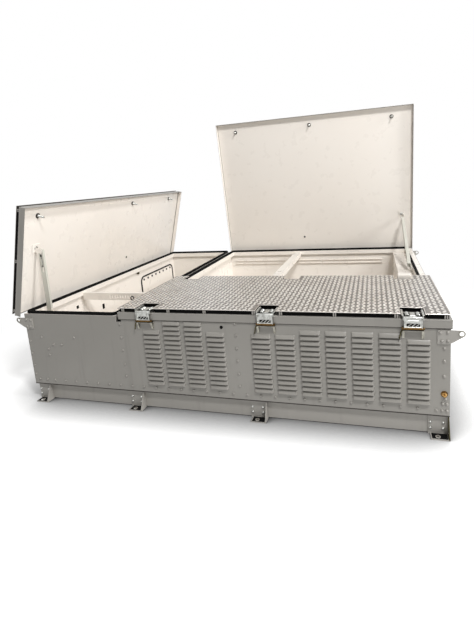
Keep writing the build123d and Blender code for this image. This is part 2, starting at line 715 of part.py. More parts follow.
LEFT_LID_PIN_Y = LEFT_STAY_Y - STAY_T - STAY_PLAY
with BuildPart() as left_stay_bracket:
    add_block(
        (LEFT_STAY_CLOSED[0] - BRACKET_L / 2, LEFT_STAY_CLOSED[0] + BRACKET_L / 2),
        (LEFT_LID_PIN_Y - BRACKET_W, LEFT_LID_PIN_Y),
        (PAN_BOTTOM - BRACKET_T, PAN_BOTTOM),
    )
    with BuildSketch(Plane.XZ.offset(-LEFT_LID_PIN_Y)):
        with Locations(LEFT_STAY_CLOSED):
            Circle(STAY_EYE_R)
        draw_rectangle(
            (LEFT_STAY_CLOSED[0] - STAY_EYE_R, LEFT_STAY_CLOSED[0] + STAY_EYE_R),
            (LEFT_STAY_CLOSED[1], PAN_BOTTOM - BRACKET_T),
        )
    extrude(amount=STAY_T)
write("left_stay_bracket", open_left_lid(left_stay_bracket.part))

# Rear stay: pinned to the lid, its sliding pin on the rim stops just short of the arm
REAR_CHEEK_X = REAR_STAY_X - STAY_PLAY
with BuildPart() as rear_stay_bracket:
    add_block(
        (REAR_CHEEK_X - BRACKET_W, REAR_CHEEK_X),
        (REAR_STAY_CLOSED[0] - BRACKET_L / 2, REAR_STAY_CLOSED[0] + BRACKET_L / 2),
        (PAN_BOTTOM - BRACKET_T, PAN_BOTTOM),
    )
    with BuildSketch(Plane.YZ.offset(REAR_CHEEK_X)):
        with Locations(REAR_STAY_CLOSED):
            Circle(STAY_EYE_R)
        draw_rectangle(
            (REAR_STAY_CLOSED[0] - STAY_EYE_R, REAR_STAY_CLOSED[0] + STAY_EYE_R),
            (REAR_STAY_CLOSED[1], PAN_BOTTOM - BRACKET_T),
        )
    extrude(amount=-STAY_T)
    with BuildSketch(Plane.YZ.offset(REAR_CHEEK_X)):
        with Locations(REAR_STAY_CLOSED):
            Circle(STAY_PIN_R)
    extrude(amount=STAY_T + 2 * STAY_PLAY)
write("rear_stay_bracket", open_rear_lid(rear_stay_bracket.part))

REAR_RIM_INNER_X = INSIDE_X[1] - RIM_RIGHT_W
with BuildPart() as rear_stay_foot:
    with BuildSketch(Plane.YZ.offset(REAR_STAY_X + STAY_T + STAY_PLAY)):
        with Locations(REAR_STAY_ROOT):
            Circle(STAY_PIN_R)
    extrude(amount=REAR_RIM_INNER_X - REAR_STAY_X - STAY_T - STAY_PLAY)
    add_block(
        (REAR_RIM_INNER_X - BRACKET_T, REAR_RIM_INNER_X),
        (REAR_STAY_ROOT[0] - BRACKET_L, REAR_STAY_ROOT[0] + BRACKET_L),
        (RIM_BOTTOM, RIM_Z),
    )
write("rear_stay_foot", rear_stay_foot.part)

# Inside: cross beam, slotted cross member, wall rails, duct wall, gland plate
with BuildPart() as cross_beam:
    beam_x = LEFT_X + CROSS_BEAM_FROM_LEFT
    with BuildSketch(Plane.XZ.offset(-(VALLEY_Y[1] + RIM_W))):
        draw_rectangle(
            (beam_x - CROSS_BEAM_W / 2, beam_x + CROSS_BEAM_W / 2),
            (RIM_Z - CROSS_BEAM_DROP - CROSS_BEAM_H, RIM_Z - CROSS_BEAM_DROP),
        )
        draw_rectangle(
            (beam_x - CROSS_BEAM_W / 2 + CROSS_BEAM_T, beam_x + CROSS_BEAM_W / 2 - CROSS_BEAM_T),
            (RIM_Z - CROSS_BEAM_DROP - CROSS_BEAM_H + CROSS_BEAM_T, RIM_Z - CROSS_BEAM_DROP - CROSS_BEAM_T),
            mode=Mode.SUBTRACT,
        )
    extrude(amount=-(INSIDE_Y[1] - RIM_W - VALLEY_Y[1] - RIM_W))
write("cross_beam", cross_beam.part)

with BuildPart() as left_cross_member:
    shelf_x = (INSIDE_X[0] + RIM_W, VALLEY_X[0] - RIM_W)
    shelf_y = FRONT_Y + SHELF_FROM_FRONT
    shelf_top = RIM_Z - SHELF_DROP
    with BuildSketch(Plane.XZ.offset(-shelf_y)):
        draw_rectangle(shelf_x, (shelf_top - SHELF_H, shelf_top))
        with Locations((LEFT_X + SHELF_SLOT_FROM_LEFT, shelf_top - SHELF_H / 2)):
            with GridLocations(SHELF_SLOT_PITCH, 1, SHELF_SLOTS, 1):
                Rectangle(SHELF_SLOT_W, SHELF_SLOT_H, mode=Mode.SUBTRACT)
    extrude(amount=-SHELF_T)
    add_block(shelf_x, (shelf_y, shelf_y + SHELF_FLANGE), (shelf_top - SHELF_T, shelf_top))
write("left_cross_member", left_cross_member.part)

with BuildPart() as wall_rails:
    for span in WALL_RAIL_SPANS:
        with BuildSketch(Plane.YZ.offset(LEFT_X + span[0])):
            draw_rectangle(
                (INSIDE_Y[1] - WALL_RAIL_DEPTH, INSIDE_Y[1]),
                (WALL_RAIL_Z - WALL_RAIL_H / 2, WALL_RAIL_Z + WALL_RAIL_H / 2),
            )
            draw_rectangle(
                (INSIDE_Y[1] - WALL_RAIL_DEPTH, INSIDE_Y[1] - WALL_RAIL_T),
                (WALL_RAIL_Z - WALL_RAIL_H / 2 + WALL_RAIL_T, WALL_RAIL_Z + WALL_RAIL_H / 2 - WALL_RAIL_T),
                mode=Mode.SUBTRACT,
            )
        extrude(amount=span[1] - span[0])
write("wall_rails", wall_rails.part)

with BuildPart() as duct_wall:
    duct_x = LEFT_X + DUCT_FROM_LEFT
    add_block((duct_x, duct_x + WALL_T), (VALLEY_Y[1], INSIDE_Y[1]), (FLOOR_TOP, RIM_BOTTOM))
    add_block(
        (duct_x, REAR_RIM_INNER_X + WALL_T), (VALLEY_Y[1], INSIDE_Y[1]), (RIM_BOTTOM - WALL_T, RIM_BOTTOM)
    )
write("duct_wall", duct_wall.part)


def gland_outline(grow):
    """Draw the rounded outline of the cable gland plate, grown outwards by grow."""
    with Locations((middle(GLAND_FRONT, GLAND_REAR) + FRONT_Y, middle(GLAND_BOTTOM, GLAND_TOP))):
        RectangleRounded(
            GLAND_REAR - GLAND_FRONT + 2 * grow, GLAND_TOP - GLAND_BOTTOM + 2 * grow, GLAND_R + grow
        )


GLAND_HOLE_PITCH = (GLAND_REAR - GLAND_FRONT - 2 * GLAND_R) / (GLAND_HOLES - 1)

with BuildPart() as gland_plate:
    with BuildSketch(Plane.YZ.offset(INSIDE_X[0])):
        gland_outline(0)
        with Locations((middle(GLAND_FRONT, GLAND_REAR) + FRONT_Y, GLAND_TOP - GLAND_HOLE_DROP)):
            with GridLocations(GLAND_HOLE_PITCH, 1, GLAND_HOLES, 1):
                Circle(GLAND_HOLE_R, mode=Mode.SUBTRACT)
    extrude(amount=GLAND_T)
write("gland_plate", gland_plate.part)

with BuildPart() as gland_seal:
    with BuildSketch(Plane.YZ.offset(INSIDE_X[0])):
        gland_outline(GLAND_SEAL_W)
        with BuildSketch(Plane.YZ.offset(INSIDE_X[0]), mode=Mode.SUBTRACT):
            gland_outline(0)
    extrude(amount=GLAND_SEAL_T)
write("gland_seal", gland_seal.part)


# Lifting lugs: a plate on the wall that runs out past the corner to an eye
def lug_shape():
    """Return the front right lug, its back in the plane y = 0, the wall corner at x = 0."""
    with BuildPart() as lug:
        with BuildSketch(Plane.XZ):
            with BuildLine():
                Polyline(
                    (-LUG_ROOT, -LUG_H),
                    (-LUG_ROOT, 0),
                    (LUG_OUT, 0),
                    (LUG_OUT + LUG_NOSE_OUT, -LUG_NOSE),
                    (LUG_HEEL, LUG_HEEL - LUG_H),
                    (-LUG_HEEL, -LUG_H),
                    close=True,
                )
            make_face()
            with Locations((LUG_OUT, -LUG_EYE_R)):
                Circle(LUG_EYE_R)
                Circle(LUG_HOLE_R, mode=Mode.SUBTRACT)
        extrude(amount=LUG_T)
    return lug.part


LUG = lug_shape()
LUG_Z = RIM_Z - LUG_DROP
write("front_lugs", Part() + [
    Pos(RIGHT_X, FRONT_Y, LUG_Z) * LUG,
    Pos(LEFT_X, FRONT_Y, LUG_Z) * mirror(LUG, about=Plane.YZ),
])
write("rear_lugs", Part() + [
    Pos(RIGHT_X, REAR_Y, LUG_Z) * mirror(LUG, about=Plane.XZ),
    Pos(LEFT_X, REAR_Y, LUG_Z) * mirror(mirror(LUG, about=Plane.XZ), about=Plane.YZ),
])

# Draw latches: a cup on the cover, a lever with its brass bar, a keeper on the wall
LATCH_PIN_Y = FRONT_Y - SKIRT_OUT - LATCH_PIN_OUT
LATCH_PIN_Z = PAN_TOP + LATCH_PIN_UP
CUP_FRONT_Y = LATCH_PIN_Y - LEVER_BARREL_R

with BuildPart() as latch_cups:
    for latch_x in LATCHES_X:
        inner = LATCH_W / 2
        add_block(
            (latch_x - inner - CUP_T, latch_x + inner + CUP_T),
            (FRONT_Y - SKIRT_OUT, FRONT_Y + CUP_DEPTH),
            (PAN_TOP, PAN_TOP + CUP_T),
        )
        for side in (-1, 1):
            near, far = sorted((latch_x + side * inner, latch_x + side * (inner + CUP_T)))
            add_block((near, far), (CUP_FRONT_Y, FRONT_Y + CUP_DEPTH), (PAN_TOP, PAN_TOP + CUP_H))
        with BuildSketch(Plane.YZ.offset(latch_x - inner)):
            with Locations((LATCH_PIN_Y, LATCH_PIN_Z)):
                Circle(LATCH_PIN_R)
        extrude(amount=LATCH_W)
write("latch_cups", latch_cups.part)

KEEPER_TOP = SKIRT_BOTTOM - KEEPER_DROP
KEEPER_UNDER = KEEPER_TOP - KEEPER_T
with BuildPart() as latch_keepers:
    for latch_x in LATCHES_X:
        outer = KEEPER_W / 2
        add_block(
            (latch_x - outer, latch_x + outer), (FRONT_Y - KEEPER_OUT, FRONT_Y), (KEEPER_UNDER, KEEPER_TOP)
        )
        for side in (-1, 1):
            near, far = sorted((latch_x + side * (outer - KEEPER_LEG_W), latch_x + side * outer))
            with BuildSketch(Plane.YZ.offset(near)):
                with BuildLine():
                    Polyline(
                        (FRONT_Y, KEEPER_UNDER),
                        (FRONT_Y - KEEPER_OUT, KEEPER_UNDER),
                        (FRONT_Y - KEEPER_T, KEEPER_TOP - KEEPER_H),
                        (FRONT_Y, KEEPER_TOP - KEEPER_H),
                        close=True,
                    )
                make_face()
            extrude(amount=far - near)
write("latch_keepers", latch_keepers.part)

LATCH_BAR_Z = LATCH_PIN_Z - LEVER_DROP
for latch_name, latch_x in zip(LATCH_NAMES, LATCHES_X):
    lever_half = LATCH_W / 2 - LATCH_PLAY
    with BuildPart() as latch_lever:
        with BuildSketch(Plane.YZ.offset(latch_x - lever_half)):
            with Locations((LATCH_PIN_Y, LATCH_PIN_Z)):
                Circle(LEVER_BARREL_R)
            draw_rectangle(
                (LATCH_PIN_Y - LEVER_T / 2, LATCH_PIN_Y + LEVER_T / 2), (LATCH_BAR_Z, LATCH_PIN_Z)
            )
            with Locations((LATCH_PIN_Y, LATCH_PIN_Z)):
                Circle(LATCH_PIN_R + LATCH_PLAY, mode=Mode.SUBTRACT)
        extrude(amount=2 * lever_half)
        for side in (-1, 1):
            edge = latch_x + side * lever_half
            near, far = sorted((edge, edge - side * LEVER_T))
            add_block(
                (near, far),
                (LATCH_PIN_Y - LEVER_SIDE, LATCH_PIN_Y),
                (LATCH_BAR_Z, LATCH_PIN_Z - LEVER_BARREL_R),
            )
        with BuildSketch(Plane.YZ.offset(latch_x - LATCH_BAR_L / 2)):
            with Locations((LATCH_PIN_Y, LATCH_BAR_Z)):
                Circle(LATCH_BAR_R)
        extrude(amount=LATCH_BAR_L, mode=Mode.SUBTRACT)
    write(f"{latch_name}_latch_lever", latch_lever.part)
    with BuildPart() as latch_bar:
        with BuildSketch(Plane.YZ.offset(latch_x - LATCH_BAR_L / 2)):
            with Locations((LATCH_PIN_Y, LATCH_BAR_Z)):
                Circle(LATCH_BAR_R)
        extrude(amount=LATCH_BAR_L)
    write(f"{latch_name}_latch_bar", latch_bar.part)

# Earth stud near the right end of the front wall
with BuildPart() as earth_stud:
    with BuildSketch(Plane.XZ.offset(-FRONT_Y)):
        with Locations((LEFT_X + EARTH_FROM_LEFT, EARTH_Z)):
            Circle(EARTH_R)
    extrude(amount=EARTH_NUT_T)
    with BuildSketch(Plane.XZ.offset(-FRONT_Y)):
        with Locations((LEFT_X + EARTH_FROM_LEFT, EARTH_Z)):
            Circle(EARTH_STUD_R)
    extrude(amount=EARTH_OUT)
write("earth_stud", earth_stud.part)
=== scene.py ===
"""Looks of a low equipment cabinet: louvred grey box, cream inside, open lids with tread plates.

Everything is in metres in the part's own frame: the origin lies on the ground under the middle of
the body, +X runs along the louvred front to the right, +Y to the rear and +Z up.
"""
from __future__ import annotations

import json
import logging
import math
from dataclasses import dataclass
from enum import Enum
from typing import Any, Callable, Sequence

import bpy
import numpy as np
from mathutils import Matrix
from numpy.typing import NDArray

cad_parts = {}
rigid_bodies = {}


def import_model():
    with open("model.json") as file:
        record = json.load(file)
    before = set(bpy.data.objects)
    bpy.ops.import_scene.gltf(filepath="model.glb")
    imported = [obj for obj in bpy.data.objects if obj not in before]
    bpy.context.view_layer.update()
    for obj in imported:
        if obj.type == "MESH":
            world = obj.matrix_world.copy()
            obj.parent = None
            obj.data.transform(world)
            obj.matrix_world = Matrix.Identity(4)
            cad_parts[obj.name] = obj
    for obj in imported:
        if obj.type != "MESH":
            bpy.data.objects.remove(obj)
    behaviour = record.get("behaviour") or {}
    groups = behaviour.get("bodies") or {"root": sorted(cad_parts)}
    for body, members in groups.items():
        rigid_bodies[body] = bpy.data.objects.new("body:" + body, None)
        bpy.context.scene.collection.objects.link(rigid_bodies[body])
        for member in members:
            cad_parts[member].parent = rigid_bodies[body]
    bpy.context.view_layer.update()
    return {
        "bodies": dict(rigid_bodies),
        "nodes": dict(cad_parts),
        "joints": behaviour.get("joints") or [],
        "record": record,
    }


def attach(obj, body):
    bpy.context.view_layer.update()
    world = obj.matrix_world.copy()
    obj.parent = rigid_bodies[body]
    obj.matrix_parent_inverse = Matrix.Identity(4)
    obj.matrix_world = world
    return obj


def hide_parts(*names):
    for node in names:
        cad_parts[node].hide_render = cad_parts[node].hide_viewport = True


LOG = logging.getLogger("cabinet")
Array = NDArray[np.float64]
Grid = NDArray[np.int64]
Span = tuple[float, float]

MM = 0.001
WIDTH, DEPTH = 3.0, 2.5
LEFT, RIGHT, FRONT, REAR = -WIDTH / 2, WIDTH / 2, -DEPTH / 2, DEPTH / 2
RIM_Z, FLOOR_Z, WALL_T = 0.704, 0.137, 0.003
DIVIDER_X, BEAM_Y = LEFT + 0.825, FRONT + 0.952
VALLEY_HALF, RIM_DROP = 0.022, 0.044
PAN_BOTTOM, PAN_TOP, SKIRT_BOTTOM = 0.7315, 0.734, 0.684
TREAD_BOTTOM, TREAD_TOP = 0.760, 0.7645
SKIRT_OUT = 0.0075
HINGE_Z, HINGE_OUT = 0.705, 0.012
LATCHES_X = (-0.458, 0.414, 1.296)
REAR_NOTCHES_X = (-0.477, 0.420, 1.302)
NOTCH_HALF, NOTCH_DEPTH = 0.069, 0.118
COVER_TABS_X = (-0.630, -0.276, -0.009, 0.332, 0.511, 0.848, 1.205, 1.475)
LEFT_TABS_X = (-1.492, -1.097, -0.712)
COVER_X, COVER_Y = (-0.668, 1.5), (-1.25, -0.305)
LEFT_LID_X, LEFT_LID_Y = (-1.519, -0.682), (-1.2875, 1.25)
REAR_LID_X, REAR_LID_Y = (-0.668, 1.5), (-0.291, 1.269)
SKIRT_FROM_DIVIDER = 0.007
FEET_X = (-1.435, -0.612, 0.315, 1.435)
SHARP_ANGLE = 38.0
PLANE_REACH, PLANE_FACING = 0.5 * MM, 0.7


class Body(str, Enum):
    """Bodies of the frame that pieces ride on."""

    BOX = "root"
    LEFT_LID = "left_lid"
    REAR_LID = "rear_lid"
    LEFT_STAY = "left_stay"
    REAR_STAY = "rear_stay"


class Lid(Enum):
    """How a piece drawn on the closed box is turned to its rest pose: (axis, hinge point, degrees)."""

    NONE = (1, (0.0, 0.0, 0.0), 0.0)
    LEFT = (1, (LEFT - HINGE_OUT, 0.0, HINGE_Z), -75.4)
    REAR = (0, (0.0, REAR + HINGE_OUT, HINGE_Z), -83.1)

    def matrix(self) -> Array:
        """Return the 3 by 4 matrix that opens the lid: R (p - h) + h.

        Returns:
            Rotation and shift in one 3 by 4 array.
        """
        axis, hinge, degrees = self.value
        c, s = math.cos(math.radians(degrees)), math.sin(math.radians(degrees))
        if axis == 0:
            turn = np.array([[1, 0, 0], [0, c, -s], [0, s, c]], float)
        else:
            turn = np.array([[c, 0, s], [0, 1, 0], [-s, 0, c]], float)
        h = np.array(hinge)
        return np.hstack([turn, (h - turn @ h)[:, None]])

    def open(self, points: Array) -> Array:
        """Turn points of the closed lid to the open rest pose."""
        m = self.matrix()
        return points @ m[:, :3].T + m[:, 3]

    def close(self, points: Array) -> Array:
        """Turn points of the open lid back to the closed pose."""
        m = self.matrix()
        return (points - m[:, 3]) @ m[:, :3]


# Surfaces


@dataclass
class Surface:
    """Points and polygons; each array in faces holds polygons of one number of corners."""

    points: Array
    faces: list[Grid]

    @classmethod
    def from_grid(cls, grid: Array, wrap_u: bool = False, wrap_v: bool = False) -> Surface:
        """Join the points P(u, v) = grid[u, v] with quads that face along dP/du x dP/dv.

        Args:
            grid: Points as an array of shape (rows, columns, 3).
            wrap_u: Join the last row to the first.
            wrap_v: Join the last column to the first.

        Returns:
            The surface.
        """
        rows, columns = grid.shape[:2]
        index = np.arange(rows * columns).reshape(rows, columns)
        if wrap_u:
            index = np.vstack([index, index[:1]])
        if wrap_v:
            index = np.hstack([index, index[:, :1]])
        quads = np.stack([index[:-1, :-1], index[1:, :-1], index[1:, 1:], index[:-1, 1:]], axis=-1)
        return cls(grid.reshape(-1, 3), [quads.reshape(-1, 4)])

    def flipped(self) -> Surface:
        """Return the surface with every face turned round."""
        return Surface(self.points, [face[:, ::-1] for face in self.faces])

    def opened(self, lid: Lid) -> Surface:
        """Return the surface turned with an open lid."""
        return Surface(lid.open(self.points), self.faces)

    def repeated(self, frames: Array) -> Surface:
        """Copy the surface to many places at once: p' = R p + t for each frame.

        Args:
            frames: Array of shape (n, 3, 4).

        Returns:
            One surface with n copies.
        """
        points = np.einsum("nij,pj->npi", frames[:, :, :3], self.points) + frames[:, None, :, 3]
        shift = np.arange(len(frames))[:, None, None] * len(self.points)
        faces = [(face[None] + shift).reshape(-1, face.shape[1]) for face in self.faces]
        return Surface(points.reshape(-1, 3), faces)


def joined(parts: Sequence[Surface]) -> Surface:
    """Put surfaces together as one, with their points side by side."""
    starts = np.cumsum([0] + [len(part.points) for part in parts])
    faces = [face + start for part, start in zip(parts, starts) for face in part.faces]
    return Surface(np.vstack([part.points for part in parts]), faces)


def frames_at(places: Array, z_axis: Sequence[float], x_axis: Sequence[float]) -> Array:
    """Return one frame per place, its z along z_axis and its x near x_axis.

    Args:
        places: Points of shape (n, 3).
        z_axis: Direction out of the surface.
        x_axis: Direction along the surface.

    Returns:
        Array of shape (n, 3, 4).
    """
    z = np.array(z_axis, float)
    z /= np.linalg.norm(z)
    x = np.array(x_axis, float)
    x -= z * (x @ z)
    x /= np.linalg.norm(x)
    turn = np.stack([x, np.cross(z, x), z], axis=1)
    frames = np.zeros((len(places), 3, 4))
    frames[:, :, :3] = turn
    frames[:, :, 3] = places
    return frames


def lathe(profile: Sequence[Span], sides: int, start: float = 0.0) -> Surface:
    """Turn a profile of (radius, height) round the z axis: P(u, v) = (r cos u, r sin u, h), ends capped.

    Args:
        profile: Radius and height from one end to the other; it runs upwards outside.
        sides: Number of sides.
        start: Angle of the first corner in radians.

    Returns:
        A closed surface.
    """
    angle = start + np.linspace(0.0, 2 * math.pi, sides, endpoint=False)[:, None]
    line = np.array(profile, float)
    radius, height = line[None, :, 0], line[None, :, 1]
    grid = np.stack(
        [radius * np.cos(angle), radius * np.sin(angle), np.broadcast_to(height, (sides, len(line)))], axis=-1
    )
    side = Surface.from_grid(grid, wrap_u=True)
    count = len(line)
    first = np.arange(sides) * count
    return Surface(side.points, side.faces + [first[None, ::-1], first[None] + count - 1])


def sweep(path: Array, profile: Array, up: Sequence[float], closed: bool) -> Surface:
    """Carry a closed profile along a path: P(u, v) = path(u) + a(v) side(u) + b(v) up(u).

    The side direction is tangent x up. With a profile drawn counter-clockwise the sides face inwards,
    and the two ends of an open path face outwards.

    Args:
        path: Points of shape (n, 3).
        profile: Points (a, b) of shape (m, 2).
        up: Direction that stays up along the path.
        closed: Whether the path joins its own start.

    Returns:
        A surface without gaps, with flat ends on an open path.
    """
    if closed:
        tangent = np.roll(path, -1, axis=0) - np.roll(path, 1, axis=0)
    else:
        tangent = np.gradient(path, axis=0)
    tangent /= np.linalg.norm(tangent, axis=1)[:, None]
    side = np.cross(tangent, np.array(up, float))
    side /= np.linalg.norm(side, axis=1)[:, None]
    above = np.cross(side, tangent)
    grid = path[:, None] + profile[None, :, :1] * side[:, None] + profile[None, :, 1:] * above[:, None]
    body = Surface.from_grid(grid, wrap_u=closed, wrap_v=True).flipped()
    if closed:
        return body
    count, rows = len(profile), len(path)
    first = np.arange(count)
    return Surface(body.points, body.faces + [first[None], first[None, ::-1] + (rows - 1) * count])


def circle(radius: float, sides: int) -> Array:
    """Return a circle as a profile: (r cos t, r sin t)."""
    angle = np.linspace(0.0, 2 * math.pi, sides, endpoint=False)
    return radius * np.stack([np.cos(angle), np.sin(angle)], axis=-1)


def plate(outline: Sequence[Span], thickness: float) -> Surface:
    """Thicken a flat outline: the outline at z = 0 and at z = thickness, joined by its sides.

    Args:
        outline: Corners (x, y), counter-clockwise.
        thickness: Height along z.

    Returns:
        A closed surface.
    """
    flat = np.array(outline, float)
    count = len(flat)
    low = np.column_stack([flat, np.zeros(count)])
    high = np.column_stack([flat, np.full(count, thickness)])
    ring = Surface.from_grid(np.stack([low, high], axis=1), wrap_u=True)
    first = np.arange(count) * 2
    return Surface(ring.points, ring.faces + [first[None, ::-1], first[None] + 1])


def shell(outer: Array, inner: Array) -> Surface:
    """Close the gap between two grids of the same size with a strip along all four edges.

    Args:
        outer: Grid that faces along dP/du x dP/dv.
        inner: Grid behind it.

    Returns:
        A closed surface.
    """
    rows, columns = outer.shape[:2]
    front, back = Surface.from_grid(outer), Surface.from_grid(inner).flipped()
    index = np.arange(rows * columns).reshape(rows, columns)
    edge = np.concatenate([index[0, :-1], index[:-1, -1], index[-1, :0:-1], index[:0:-1, 0]])
    following = np.roll(edge, -1)
    total = rows * columns
    strip = np.stack([edge, following, following + total, edge + total], axis=-1)
    return Surface(
        np.vstack([front.points, back.points]), [front.faces[0], back.faces[0] + total, strip]
    )


def rounded_rectangle(x: Span, y: Span, radius: float, steps: int) -> Array:
    """Trace a rectangle with round corners, counter-clockwise: four quarter circles.

    Args:
        x: Lowest and highest x.
        y: Lowest and highest y.
        radius: Corner radius.
        steps: Points per corner.

    Returns:
        Points of shape (4 * steps, 2).
    """
    centres = np.array(
        [(x[1] - radius, y[1] - radius), (x[0] + radius, y[1] - radius),
         (x[0] + radius, y[0] + radius), (x[1] - radius, y[0] + radius)]
    )
    angle = np.linspace(0.0, math.pi / 2, steps)[None] + np.arange(4)[:, None] * math.pi / 2
    arc = radius * np.stack([np.cos(angle), np.sin(angle)], axis=-1)
    return (centres[:, None] + arc).reshape(-1, 2)


def outset(outline: Array, distance: float) -> Array:
    """Move a counter-clockwise outline outwards: p + d (n1 + n2) / (1 + n1 . n2), n normal to its sides.

    Args:
        outline: Corners of shape (n, 2).
        distance: How far every side moves outwards.

    Returns:
        The moved corners.
    """
    along = np.roll(outline, -1, axis=0) - outline
    along /= np.linalg.norm(along, axis=1)[:, None]
    after = np.column_stack([along[:, 1], -along[:, 0]])
    before = np.roll(after, 1, axis=0)
    share = 1.0 + np.sum(before * after, axis=1)[:, None]
    return outline + distance * (before + after) / share


def border(outline: Array, profile: Sequence[Span]) -> Surface:
    """Carry a closed profile round an outline: P(u, v) = (outline moved out by o(v), z(v)) at corner u.

    Args:
        outline: Corners of shape (n, 2), counter-clockwise.
        profile: Points (o, z); outside they run upwards.

    Returns:
        A closed ring.
    """
    rings = [np.column_stack([outset(outline, out), np.full(len(outline), z)]) for out, z in profile]
    return Surface.from_grid(np.stack(rings, axis=1), wrap_u=True, wrap_v=True)


def rectangle(x: Span, y: Span) -> Array:
    """Return a rectangle's corners, counter-clockwise."""
    return np.array([(x[0], y[0]), (x[1], y[0]), (x[1], y[1]), (x[0], y[1])], float)


def block(low: Sequence[float], high: Sequence[float], edge: float) -> Surface:
    """Give a box with softened edges: its outline set in by the edge at the bottom and the top.

    Args:
        low: Lowest corner.
        high: Highest corner.
        edge: Width of the bevel.

    Returns:
        A closed surface.
    """
    outline = rectangle((low[0], high[0]), (low[1], high[1]))
    levels = ((-edge, low[2]), (0.0, low[2] + edge), (0.0, high[2] - edge), (-edge, high[2]))
    rings = [np.column_stack([outset(outline, out), np.full(4, z)]) for out, z in levels]
    side = Surface.from_grid(np.stack(rings, axis=1), wrap_u=True)
    first = np.arange(4) * len(levels)
    return Surface(side.points, side.faces + [first[None, ::-1], first[None] + len(levels) - 1])


def punched(x: Span, y: Span, thickness: float, centre: Span, radius: float) -> Surface:
    """Give a rectangular plate with one round hole: rays from the hole's centre to the edge.

    Each ray ends at the rectangle, at t = min(half width / |cos a|, half depth / |sin a|) in its quadrant.

    Args:
        x: Lowest and highest x.
        y: Lowest and highest y.
        thickness: Height along z.
        centre: Centre of the hole.
        radius: Radius of the hole.

    Returns:
        A closed surface.
    """
    corner = np.array([math.atan2(b - centre[1], a - centre[0]) for a in x for b in y])
    even = np.linspace(0, 2 * math.pi, 25)[:-1]
    angle = np.unique(np.round(np.concatenate([corner % (2 * math.pi), even]), 5))
    c, s = np.cos(angle), np.sin(angle)
    reach_x = np.where(c > 0, x[1] - centre[0], centre[0] - x[0]) / np.maximum(np.abs(c), 1e-9)
    reach_y = np.where(s > 0, y[1] - centre[1], centre[1] - y[0]) / np.maximum(np.abs(s), 1e-9)
    reach = np.minimum(reach_x, reach_y)
    hole = np.full_like(c, radius)
    levels = ((reach, 0.0), (reach, thickness), (hole, thickness), (hole, 0.0))
    rings = [np.stack([centre[0] + r * c, centre[1] + r * s, np.full_like(c, z)], axis=-1) for r, z in levels]
    return Surface.from_grid(np.stack(rings, axis=1), wrap_u=True, wrap_v=True)


def make_piece(
    name: str, surface: Surface, finish: bpy.types.Material, smooth: bool = True
) -> bpy.types.Object:
    """Put a surface into a mesh object at the origin.

    Args:
        name: Name of the piece.
        surface: Its shape.
        finish: Its material.
        smooth: Whether the shading is smooth across soft edges.

    Returns:
        The object.
    """
    mesh = bpy.data.meshes.new(name)
    faces = [corners for group in surface.faces for corners in group.tolist()]
    mesh.from_pydata(surface.points.tolist(), [], faces)
    mesh.materials.append(finish)
    mesh.update()
    if smooth:
        mesh.shade_smooth()
        mesh.set_sharp_from_angle(angle=math.radians(SHARP_ANGLE))
    piece = bpy.data.objects.new(name, mesh)
    bpy.context.scene.collection.objects.link(piece)
    return piece


# Finishes


def linear(hex_colour: str) -> tuple[float, float, float, float]:
    """Turn an sRGB hex colour to linear: c / 12.92 when dark, else ((c + 0.055) / 1.055) ** 2.4.

    Args:
        hex_colour: Six hex digits after a hash sign.

    Returns:
        Linear red, green, blue and an alpha of 1.
    """
    channels = [int(hex_colour[i : i + 2], 16) / 255 for i in (1, 3, 5)]
    red, green, blue = (c / 12.92 if c <= 0.04045 else ((c + 0.055) / 1.055) ** 2.4 for c in channels)
    return red, green, blue, 1.0


def add_node(
    tree: bpy.types.NodeTree, kind: str, inputs: dict[str | int, Any] | None = None, **settings: Any
) -> bpy.types.Node:
    """Add one node, set its fields, and fill or link its inputs.

    Args:
        tree: Tree that gets the node.
        kind: Blender's name of the node type.
        inputs: Socket name or number to a value, or to another node's output.
        settings: Fields of the node itself.

    Returns:
        The node.
    """
    node = tree.nodes.new(kind)
    for name, value in settings.items():
        setattr(node, name, value)
    for key, value in (inputs or {}).items():
        if isinstance(value, bpy.types.NodeSocket):
            tree.links.new(value, node.inputs[key])
        else:
            node.inputs[key].default_value = value
    return node


def new_tree(name: str) -> tuple[bpy.types.Material, bpy.types.NodeTree]:
    """Make an empty material and return it with its node tree."""
    material = bpy.data.materials.new(name)
    material.use_nodes = True
    material.node_tree.nodes.clear()
    return material, material.node_tree


def noise(
    tree: bpy.types.NodeTree, size: float, stretch: Sequence[float] = (1, 1, 1), detail: float = 3.0
) -> Any:
    """Add noise on object coordinates with features of one real size.

    Args:
        tree: Tree that gets the nodes.
        size: Feature size in metres.
        stretch: Factor on each axis; above 1 makes features shorter that way.
        detail: Octaves of finer noise.

    Returns:
        The output socket with values from 0 to 1.
    """
    place = add_node(tree, "ShaderNodeTexCoord")
    scale = tuple(s / size for s in stretch)
    turned = add_node(tree, "ShaderNodeMapping", {"Vector": place.outputs["Object"], "Scale": scale})
    spots = add_node(
        tree, "ShaderNodeTexNoise", {"Vector": turned.outputs["Vector"], "Scale": 1.0, "Detail": detail}
    )
    return spots.outputs["Fac"]


